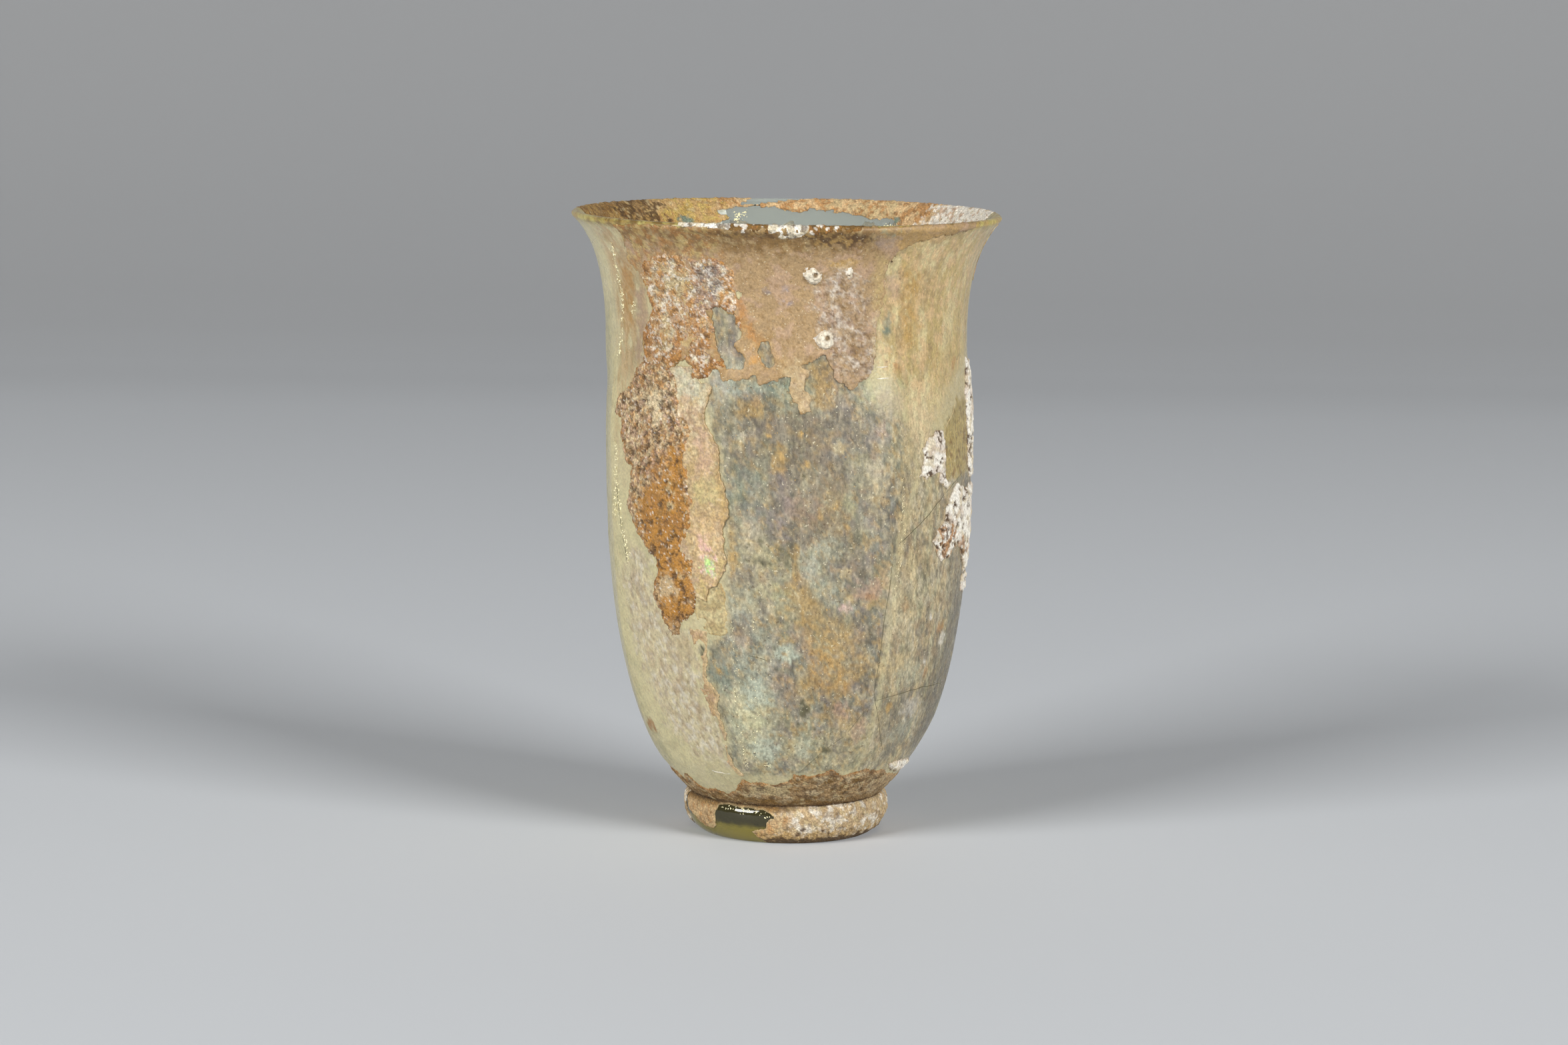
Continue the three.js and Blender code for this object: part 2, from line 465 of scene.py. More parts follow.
def add_tone(piece, tone):
    """A colour for each point of the mesh."""
    layer = piece.data.attributes.new("tone", "FLOAT_COLOR", "POINT")
    full = np.ones((len(tone), 4), np.float32)
    full[:, :3] = np.clip(tone, 0, 1)
    layer.data.foreach_set("color", full.ravel())


def add_value(piece, name, values):
    """A number for each point of the mesh."""
    layer = piece.data.attributes.new(name, "FLOAT", "POINT")
    layer.data.foreach_set("value", np.asarray(values, np.float32))


def fasten(piece, finish):
    """The piece rides with the beaker and wears the given finish."""
    piece.data.materials.append(finish)
    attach(piece, "root")


def grid_squares(rows, columns, wraps):
    """The corners of every square of a grid that may close on itself sideways."""
    index = np.arange(rows * columns).reshape(rows, columns)
    if wraps:
        index = np.column_stack([index, index[:, :1]])
    return np.stack([index[:-1, :-1], index[1:, :-1], index[1:, 1:], index[:-1, 1:]], axis=-1).reshape(-1, 4)


def closed_ring(corners):
    """An outline from bearing -180 to 180, carried on past both ends."""
    before = [(bearing - 360, height) for bearing, height in corners if 120 < bearing < 180]
    after = [(bearing + 360, height) for bearing, height in corners if -180 < bearing < -120]
    middle = [corner for corner in corners if abs(corner[0]) < 180]
    floor = min(height for _, height in corners)
    return [(-240, floor), *before, *middle, *after, (240, floor)]


# How far the underside of a layer lies below the skin
LAYER_SINK = 0.05


def lay_layer(form, name, corners, spacing, ragged, look, holes=(), inside=False, ring=False):
    """A closed thin solid on the form inside an outline with a ragged edge.

    ragged holds how far the edge wanders, the size of its bays and a seed. look(skin, depth) gives
    each point's thickness, colour and gloss from its depth inside the edge. Gloss may be one number.
    """
    wander, bays, seed = ragged
    bearings, heights = np.array(corners, float).T
    travels = (form.inner if inside else form.outer)(heights)
    reach = float(np.mean(np.interp(travels, form.travel, form.radius)))
    margin = wander * 2 + spacing * 2
    along = np.arange(travels.min() - margin, travels.max() + margin, spacing)
    if ring:
        columns = int(2 * pi * reach / spacing)
        across = (np.arange(columns) / columns * 2 * pi - pi) * reach
        corners = closed_ring(corners)
    else:
        low, high = np.radians([bearings.min(), bearings.max()]) * reach
        across = np.arange(low - margin, high + margin, spacing)
    travel, bearing = (part.ravel() for part in np.meshgrid(along, across / reach, indexing="ij"))
    skin = Skin(form, bearing, travel, reach, inside)
    depth = skin.depth(corners)
    for hole in holes:
        depth = np.minimum(depth, -skin.depth(hole))
    depth = depth + 2 * wander * (skin.mottle(bays, seed, 5) - 0.5)
    shape = (len(along), len(across))
    slope = np.stack(np.gradient(depth.reshape(shape), along, across), axis=-1).reshape(-1, 2)
    steepness = np.sum(slope**2, axis=1, keepdims=True).clip(0.05)
    pull = np.where(depth < 0, -depth, 0)[:, None] * slope / steepness
    pull = np.clip(pull, -spacing, spacing)
    skin = Skin(form, bearing + pull[:, 1] / reach, travel + pull[:, 0], reach, inside)
    squares = grid_squares(*shape, ring)
    thickness, tone, gloss = look(skin, np.maximum(depth, 0))
    facing = form.facing(np.radians(skin.bearing), skin.flat[:, 1])
    top = skin.points + facing * thickness[:, None]
    bottom = skin.points - facing * LAYER_SINK
    used, upper = np.unique(squares[(depth[squares] > 0).any(axis=1)], return_inverse=True)
    upper = upper.reshape(-1, 4)
    count = len(used)
    edges = np.concatenate([upper[:, [side, (side + 1) % 4]] for side in range(4)])
    rim = edges[~np.isin(edges[:, 0] * count + edges[:, 1], edges[:, 1] * count + edges[:, 0])]
    sides = np.column_stack([rim[:, 1], rim[:, 0], rim[:, 0] + count, rim[:, 1] + count])
    faces = np.vstack([upper, upper[:, ::-1] + count, sides]).tolist()
    piece = new_mesh(name, np.vstack([top[used], bottom[used]]), faces)
    add_tone(piece, np.vstack([tone[used], tone[used]]))
    add_value(piece, "gloss", np.tile(np.broadcast_to(gloss, depth.shape)[used], 2))
    return piece


def lay_all(form, layers):
    """Layers given as name, outline, spacing, ragged edge, look, finish and holes, each laid in turn."""
    for name, corners, spacing, ragged, look, finish, holes in layers:
        fasten(lay_layer(form, name, corners, spacing, ragged, look, holes), finish)


# Sizes of the threads and flakes: sides around, length of a step, sideways wander, a body radius for
# turning bearings into lengths, then a flake's scatter, tilt, half thickness and narrowness
SIDES, THREAD_STEP, THREAD_WANDER, BODY_RADIUS = 6, 0.5, 0.35, 30
FLAKE_SCATTER, FLAKE_TILT, FLAKE_HALF, FLAKE_NARROW = 0.3, 0.35, 0.03, 0.6


def thread(form, corners, radius):
    """Points and faces of a thin closed thread half sunk in the skin along bearings and heights."""
    bearings, heights = np.array(corners, float).T
    travels = form.outer(heights)
    steps = np.hypot(np.radians(np.diff(bearings)) * BODY_RADIUS, np.diff(travels))
    along = np.concatenate([[0], np.cumsum(steps)])
    stops = np.linspace(0, along[-1], max(int(along[-1] / THREAD_STEP), 3))
    bearing = np.radians(np.interp(stops, along, bearings))
    travel = np.interp(stops, along, travels)
    travel = travel + clouds(form.place(bearing, travel), 2.0, 9) * THREAD_WANDER
    middle = form.place(bearing, travel)
    facing = form.facing(bearing, travel)
    ahead = np.gradient(middle, axis=0)
    ahead /= np.linalg.norm(ahead, axis=1, keepdims=True)
    beside = np.cross(ahead, facing)
    taper = radius * np.sqrt(np.clip(np.sin(np.linspace(0.05, pi - 0.05, len(stops))) * 3, 0, 1))
    turns = np.arange(SIDES) * 2 * pi / SIDES
    round_it = np.cos(turns)[:, None] * beside[:, None] + np.sin(turns)[:, None] * facing[:, None]
    points = (middle[:, None] + round_it * taper[:, None, None]).reshape(-1, 3)
    last = len(points) - SIDES
    ends = [list(range(SIDES)), list(range(len(points) - 1, last - 1, -1))]
    return points, grid_squares(len(stops), SIDES, True).tolist() + ends


def flakes(form, corners, count, size, seed, inside):
    """Points and faces of tiny tilted flakes scattered along bearings and heights."""
    random = np.random.default_rng(seed)
    bearings, heights = np.array(corners, float).T
    travels = (form.inner if inside else form.outer)(heights)
    spots = np.interp(random.random(count), np.linspace(0, 1, len(corners)), np.arange(len(corners)))
    order = np.arange(len(corners))
    turned = random.normal(0, FLAKE_SCATTER / BODY_RADIUS, count)
    bearing = np.radians(np.interp(spots, order, bearings)) + turned
    travel = np.interp(spots, order, travels) + random.normal(0, FLAKE_SCATTER, count)
    facing = form.facing(bearing, travel) + random.normal(0, FLAKE_TILT, (count, 3))
    facing /= np.linalg.norm(facing, axis=1, keepdims=True)
    beside = np.cross(facing, random.normal(size=(count, 3)))
    beside /= np.linalg.norm(beside, axis=1, keepdims=True)
    ahead = np.cross(facing, beside)
    radius = size * random.uniform(0.5, 1.3, count)[:, None, None]
    around = np.arange(SIDES)
    turns = around * 2 * pi / SIDES
    ring = np.cos(turns)[:, None] * beside[:, None] + FLAKE_NARROW * np.sin(turns)[:, None] * ahead[:, None]
    centre = form.place(bearing, travel)[:, None]
    half = FLAKE_HALF * facing[:, None]
    points = np.concatenate([centre + ring * radius + half, centre + ring * radius - half], axis=1)
    first = np.arange(count)[:, None] * 2 * SIDES
    after = np.roll(around, -1)
    sides = np.stack([around, around + SIDES, after + SIDES, after], axis=-1) + first[:, :, None]
    caps = np.concatenate([first + around, first + 2 * SIDES - 1 - around]).tolist()
    return points.reshape(-1, 3), sides.reshape(-1, 4).tolist() + caps


def gather(name, parts):
    """One object from several sets of points and faces."""
    points = []
    faces = []
    for more_points, more_faces in parts:
        start = sum(len(group) for group in points)
        faces += [[corner + start for corner in face] for face in more_faces]
        points.append(more_points)
    return new_mesh(name, np.vstack(points), faces)


# Materials


# A mix node has several sockets of each name, so those for colours go by their numbers
FIRST_COLOUR, SECOND_COLOUR, MIXED_COLOUR = 6, 7, 2


class Finish:
    """A material and short calls that add nodes to it."""

    def __init__(self, name, **plain):
        self.material = bpy.data.materials.new(name)
        self.material.use_nodes = True
        self.tree = self.material.node_tree
        self.shader = self.tree.nodes["Principled BSDF"]
        self.where = self.tree.nodes.new("ShaderNodeTexCoord").outputs["Object"]
        for socket, value in plain.items():
            self.shader.inputs[socket.replace("_", " ")].default_value = value

    def node(self, kind, settings=(), **inputs):
        """A node with its settings, and its inputs as numbers or as links."""
        made = self.tree.nodes.new("ShaderNode" + kind)
        for setting, value in settings:
            setattr(made, setting, value)
        for socket, value in inputs.items():
            self.feed(made.inputs[socket.replace("_", " ")], value)
        return made

    def feed(self, socket, value):
        if isinstance(value, bpy.types.NodeSocket):
            self.tree.links.new(value, socket)
        else:
            socket.default_value = value

    def attribute(self, name, output="Fac"):
        made = self.node("Attribute", [("attribute_name", name)])
        return made.outputs[output]

    def noise(self, size, detail=4, roughness=0.6, shift=0.0, stretch=1.0):
        """Noise from 0 to 1 with blotches about the given size in millimetres, drawn out upwards."""
        moved = self.node("VectorMath", [("operation", "MULTIPLY_ADD")])
        self.feed(moved.inputs[0], self.where)
        moved.inputs[1].default_value = (1, 1, 1 / stretch)
        moved.inputs[2].default_value = (shift, shift, shift)
        made = self.node(
            "TexNoise", Vector=moved.outputs[0], Scale=1 / (size * MM), Detail=detail, Roughness=roughness
        )
        return made.outputs["Fac"]

    def cells(self, size):
        """Distance to the nearest of scattered points, in cells of the given size in millimetres."""
        made = self.node("TexVoronoi", Vector=self.where, Scale=1 / (size * MM))
        return made.outputs["Distance"]

    def spread(self, value, low, high, start=0.0, end=1.0):
        """A value eased from start at low to end at high."""
        made = self.node(
            "MapRange",
            [("interpolation_type", "SMOOTHSTEP")],
            Value=value, From_Min=low, From_Max=high, To_Min=start, To_Max=end,
        )
        return made.outputs["Result"]

    def maths(self, operation, first, second):
        made = self.node("Math", [("operation", operation)])
        self.feed(made.inputs[0], first)
        self.feed(made.inputs[1], second)
        return made.outputs[0]

    def mix(self, share, first, second, way="MIX"):
        made = self.node("Mix", [("data_type", "RGBA"), ("blend_type", way)])
        self.feed(made.inputs["Factor"], share)
        self.feed(made.inputs[FIRST_COLOUR], first)
        self.feed(made.inputs[SECOND_COLOUR], second)
        return made.outputs[MIXED_COLOUR]

    def vary(self, tone, size, amount, shift=0.0, share=1.0, stretch=1.0):
        """A colour made lighter and darker by noise of the given size and amount."""
        level = self.spread(self.noise(size, 4, 0.65, shift, stretch), 0.3, 0.7, 1 - amount, 1 + amount)
        return self.mix(share, tone, level, "MULTIPLY")

    def dots(self, tone, size, rarity, amount, colour, shift):
        """A colour with small scattered dots of another. Higher rarity leaves fewer dots."""
        spots = self.spread(self.noise(size, 2, 0.5, shift), rarity, rarity + 0.06)
        return self.mix(self.maths("MULTIPLY", spots, amount), tone, (*colour, 1))

    def bump(self, height, distance, normal=None):
        """A bump as deep as the given distance in millimetres."""
        made = self.node("Bump", Height=height, Distance=distance * MM, Strength=1.0)
        if normal is not None:
            self.feed(made.inputs["Normal"], normal)
        return made.outputs["Normal"]

    def wear(self, **links):
        for socket, link in links.items():
            self.feed(self.shader.inputs[socket.replace("_", " ")], link)
        return self.material


# Colours of the finest dots, as light for a shader
DARK_DOT, PALE_DOT, GOLDEN_DOT = (0.11, 0.07, 0.03), (0.8, 0.72, 0.5), (0.6, 0.38, 0.13)


def glass_finish():
    """Frosted glass whose mottled films let some light through."""
    finish = Finish("weathered_glass", IOR=1.5, Coat_Weight=0.3, Coat_Roughness=0.18)
    tone = finish.attribute("tone", "Color")
    grain = finish.attribute("grain")
    tone = finish.vary(tone, 1.2, 0.16, 1.0, grain, 2.5)
    tone = finish.vary(tone, 0.5, 0.27, 2.0, grain, 1.8)
    tone = finish.vary(tone, 0.45, 0.15, 3.0)
    tone = finish.dots(tone, 0.5, 0.66, finish.maths("MULTIPLY", grain, 0.6), PALE_DOT, 5.0)
    tone = finish.dots(tone, 0.55, 0.66, finish.maths("MULTIPLY", grain, 0.7), DARK_DOT, 7.0)
    tone = finish.dots(tone, 0.6, 0.7, finish.maths("MULTIPLY", grain, 0.6), GOLDEN_DOT, 9.0)
    tone = finish.dots(tone, 0.34, 0.72, 0.5, PALE_DOT, 11.0)
    roughness = finish.spread(finish.noise(1.6, 4, 0.6, 3.0), 0.3, 0.7, 0.26, 0.5)
    relief = finish.bump(finish.noise(0.5, 5, 0.65, 1.0), 0.05)
    relief = finish.bump(finish.noise(2.5, 3, 0.5, 2.0), 0.12, relief)
    return finish.wear(
        Base_Color=tone, Roughness=roughness, Transmission_Weight=finish.attribute("clarity"), Normal=relief
    )


def clear_finish(name, share):
    """Clean glass where nothing covers it, in the mesh's colour."""
    finish = Finish(name, Transmission_Weight=share, Roughness=0.04, IOR=1.5)
    tone = finish.attribute("tone", "Color")
    return finish.wear(Base_Color=tone, Normal=finish.bump(finish.noise(3.0, 3, 0.5), 0.05))


def crust_finish(name, grain, depth, matt, glossy, contrast, **plain):
    """A granular crust: its colours come from the mesh, with finer grain and speckle here."""
    finish = Finish(name, **plain)
    tone = finish.attribute("tone", "Color")
    rough = finish.spread(finish.attribute("gloss"), 0.0, 1.0, 1.0, 0.15)
    tone = finish.vary(tone, grain * 2.6, contrast * 0.6, 1.0, rough)
    tone = finish.vary(tone, grain * 0.9, contrast, 2.0, rough)
    tone = finish.mix(rough, tone, finish.spread(finish.cells(grain), 0.1, 0.9, 1.1, 0.78), "MULTIPLY")
    tone = finish.dots(tone, grain * 1.1, 0.67, 0.7, DARK_DOT, 6.0)
    tone = finish.dots(tone, grain * 0.9, 0.69, 0.6, PALE_DOT, 8.0)
    roughness = finish.spread(finish.attribute("gloss"), 0.0, 1.0, matt, glossy)
    relief = finish.bump(finish.cells(grain), -depth)
    relief = finish.bump(finish.noise(grain * 0.5, 4, 0.7, 4.0), depth * 0.7, relief)
    return finish.wear(Base_Color=tone, Roughness=roughness, Normal=relief)


def film_finish():
    """Thin tan film with small dark specks and a silky gloss."""
    finish = Finish("tan_film", Coat_Weight=0.12, Coat_Roughness=0.3)
    tone = finish.attribute("tone", "Color")
    tone = finish.vary(tone, 1.5, 0.1, 1.0)
    tone = finish.vary(tone, 0.38, 0.2, 2.0)
    tone = finish.dots(tone, 0.5, 0.67, 0.6, DARK_DOT, 7.0)
    tone = finish.dots(tone, 0.4, 0.67, 0.5, PALE_DOT, 11.0)
    roughness = finish.spread(finish.noise(1.5, 4, 0.6, 3.0), 0.3, 0.7, 0.45, 0.7)
    relief = finish.bump(finish.noise(0.45, 5, 0.7, 1.0), 0.07)
    return finish.wear(Base_Color=tone, Roughness=roughness, Normal=relief)


def pearly_finish():
    """Silky flaking film with a pearly coat."""
    finish = Finish("flaking_film", Coat_Weight=0.25, Coat_Roughness=0.25)
    tone = finish.attribute("tone", "Color")
    tone = finish.vary(tone, 1.4, 0.14, 1.0)
    tone = finish.vary(tone, 0.5, 0.32, 2.0)
    tone = finish.dots(tone, 0.45, 0.66, 0.5, GOLDEN_DOT, 5.0)
    roughness = finish.spread(finish.attribute("gloss"), 0.0, 1.0, 0.5, 0.22)
    relief = finish.bump(finish.noise(0.8, 5, 0.65, 1.0), 0.07)
    return finish.wear(Base_Color=tone, Roughness=roughness, Normal=relief)


def plain_finish(name, tone, roughness, metallic=0.0):
    """A single colour with a little variation."""
    finish = Finish(name, Roughness=roughness, Metallic=metallic)
    return finish.wear(Base_Color=finish.vary((*tone, 1), 0.9, 0.25, 1.0))


# Areas of the glass, each as bearings and heights around its edge

GREY_FACET = pairs([
    -25, 96, 12, 96, 22, 90, 27, 86, 33, 83, 42, 80, 44, 70, 38, 60, 35, 50, 33, 15, -20, 14, -24, 18,
    -22, 22, -25, 27, -23, 29, -28, 33, -26, 40, -19, 42, -18, 60, -20, 75, -25, 84,
])
GREY_GAP = pairs([
    -23.8, 101.8, -20, 102.5, -17, 100.2, -14, 99, -14, 96.2, -15.8, 94.1, -13.2, 92.6, -13.5, 90.6,
    -18.5, 90, -21.8, 93.9, -22.8, 97.5,
])
STREAKED_SIDE = pairs([42, 80, 60, 77, 84, 82, 95, 50, 80, 14, 33, 14, 35, 50, 38, 60, 44, 70])
RIGHT_FILM = pairs([
    27.5, 118, 27.5, 100, 28, 89, 33, 88, 38, 83, 42, 77, 48, 74, 54, 80, 60, 84, 70, 88, 80, 92, 86, 104,
    86, 118,
])
SPECKLED_PANEL = pairs([69, 83.3, 66.5, 81, 59.8, 78, 60.5, 68.7, 77.5, 68.8, 84, 70, 84, 82])
GRAINY_FILM = pairs([
    -58, 56, -50, 54, -44, 42, -34, 41, -31, 38, -31, 32, -28, 27, -24, 22, -25, 16, -38, 17, -52, 23,
    -62, 38, -64, 50,
])
FILM_EDGE = pairs([
    -27, 42, -26, 39, -27, 37.1, -28.2, 32.9, -23.2, 30, -25.2, 27.4, -22.8, 22.5, -24.2, 19.9, -22, 15.6,
    -21, 13.9,
])
EDGE_BORDER = pairs([
    -33, 42, -31.8, 39.2, -31, 36.4, -31.8, 31.9, -29, 28.4, -28, 26, -25, 23.7, -23.5, 20.4, -24.8, 16.4,
    -21.2, 13.9, -19, 14, -22, 15.6, -24.2, 19.9, -22.8, 22.5, -25.2, 27.4, -23.2, 30, -28.2, 32.9,
    -27, 37.1, -26, 42,
])

# Coloured areas on the glass: colour, strength and softness, then bearings and heights in turn
GLASS_AREAS = [
    ("pink", 0.35, 1.5, 28, 88, 36, 88, 38, 83, 30, 82),
    ("teal", 0.35, 1.2, -10, 89, 1, 89, 1, 87, -10, 87.3),
    ("cool", 0.4, 1.0, -24, 91, -4, 90.5, -6, 86.5, -22, 86),
    ("slate", 0.55, 0.9, -23, 84.5, -17, 84, -17.5, 77, -22, 76.5),
    ("taupe", 0.6, 1.0, -15.5, 76, -10, 76, -10.5, 70, -16, 70),
    ("taupe", 0.5, 1.6, 0, 82, 14, 82.5, 15, 73, 3, 72),
    ("lilac", 0.45, 1.5, -12, 66, 0, 66, 0, 60, -11, 59),
    ("slate", 0.5, 1.0, -3, 58.5, 1.5, 58.5, 1, 54.5, -3, 54.5),
    ("ochre", 0.35, 1.6, 9, 71, 19, 70, 19, 61, 10, 61),
    ("slate", 0.6, 0.8, 15, 58, 19.5, 57.5, 19, 55, 15, 55),
    ("slate", 0.7, 0.6, 24.8, 56.2, 26.6, 51.2, 22.2, 53),
    ("tan", 0.85, 0.5, 27.5, 50.6, 32.8, 54.2, 34.2, 50.3, 28, 48.6, 24.4, 48.6),
    ("teal", 0.3, 2.0, -16, 88, 2, 88, 4, 84, -14, 82),
    ("taupe", 0.45, 2.5, -14, 84, 26, 84, 27, 66, 10, 60, -8, 66),
    ("taupe", 0.5, 1.8, 2, 64.4, 9, 67.1, 18.8, 60.8, 29, 52.3, 26.8, 49.6, 14, 55.4),
    ("cool", 0.4, 1.5, 3.2, 57.5, 9.2, 55.4, 22, 46.2, 14.5, 46.4, 5.8, 52),
    ("haze", 0.25, 2.0, -16.2, 64.8, -7, 61.6, -2.5, 55.4, -0.2, 46.4, -18, 46.2, -16.5, 55.2),
    ("cool", 0.45, 2.5, -20, 42, -3, 42, -3, 17, -20, 17),
    ("haze", 0.45, 2.5, -22, 32, -6, 30, -8, 16, -20, 16),
    ("slate", 0.5, 0.8, -4.8, 60.9, -0.8, 58.2, 1, 55.4, -1.2, 55.4, -4.2, 58.2),
    ("ochre", 0.6, 0.8, 6.5, 91.4, 15.8, 91.3, 15.5, 83.8, 9, 83.1, 7.8, 88.6),
    ("straw", 0.4, 1.5, 50, 92, 80, 96, 78, 78, 54, 77),
    ("blush", 0.5, 0.8, 30, 107.3, 36.2, 107.4, 36.8, 103.3, 31.8, 103.6),
    ("ochre", 0.95, 1.4, 36, 109, 43.2, 107.2, 44.8, 105, 42, 101.2, 45.6, 97.2, 43, 94, 38.8, 94,
     37.4, 100),
    ("slate", 0.8, 0.3, 32, 97.6, 33.8, 97.6, 33.6, 95.8, 32.2, 95.8),
    ("rust", 0.6, 0.3, 34.6, 91, 37, 91.4, 37.4, 88.9, 36, 89.2),
    ("ochre", 0.6, 1.0, 30, 116.4, 52.2, 116, 50.3, 114, 36, 111.9, 30, 112.8),
    ("cream", 0.6, 0.5, 60.4, 99.4, 63, 100, 62, 95.8, 59.6, 88.9, 57.8, 88.9, 59.6, 95.8),
    ("straw", 0.3, 2.0, 64, 114, 88, 114, 88, 90, 62, 92),
    ("mint", 0.5, 1.5, 24.5, 88.5, 39.5, 88.8, 39, 81.3, 30.5, 81.5, 24.5, 85),
    ("blush", 0.3, 1.2, 28, 86, 38, 86, 38, 80, 30, 80),
    ("ochre", 0.5, 1.4, -1.2, 50.7, 5.5, 52.7, 12.5, 46.8, 24.5, 42, 29.2, 35.9, 18.8, 31.4, 1.2, 30.2,
     8.2, 36.2, 5.8, 41.6),
    ("amber", 0.25, 1.0, 6, 41, 14, 39, 20, 35, 22, 31, 12, 31, 8, 35),
    ("ochre", 0.6, 0.4, -16.8, 60.7, -15.2, 59.4, -15, 53.9, -16.5, 53.1, -17.5, 56.6),
    ("beige", 0.4, 1.5, 33, 52.9, 45.8, 52.2, 46.8, 40.3, 33.5, 39.7),
    ("tan", 0.5, 1.2, -58, 110.7, -43.8, 110.6, -47.5, 100.8, -50.3, 90.4, -59.8, 87.9, -53.8, 96.4,
     -60.8, 103.6),
    ("amber", 0.6, 0.6, -57.7, 107.9, -51.5, 108.2, -53.8, 101.9, -57, 96.3, -62, 96, -62.8, 102.2),
    ("blush", 0.6, 0.8, -53, 103, -48, 104, -48, 96, -51, 90, -55, 91, -53, 97),
    ("ochre", 0.5, 0.8, 15, 32, 20.5, 29, 31, 25, 30, 21, 23, 22, 17, 27),
    ("cream", 0.45, 1.0, 34, 79, 41, 80, 44, 72, 41, 62, 38.5, 52, 36, 53, 36.5, 66, 37, 73),
    ("cream", 0.7, 0.8, 33.2, 34.4, 38.8, 37.4, 49.8, 38, 50, 33.3, 39, 32),
    ("cream", 0.6, 0.8, 34, 28, 41, 27, 42, 22, 37, 23),
    ("grey", 0.6, 1.2, 34, 29, 60, 29.5, 58, 19, 46, 17, 38, 22),
    ("slate", 0.4, 1.0, 60, 36, 72, 36, 70, 24, 58, 25),
    ("grey", 0.7, 3.0, 78, 68, 92, 66, 98, 56, 94, 44, 103, 34, 96, 20, 62, 16, 68, 30, 76, 48),
    ("moss", 0.5, 3.0, -74, 100, -90, 98, -97, 84, -88, 66, -99, 48, -90, 20, -60, 14, -70, 40),
    ("haze", 0.25, 1.5, 24, 25, 32, 24, 33, 15.5, 2, 15.5, -3, 22, 8, 22),
]

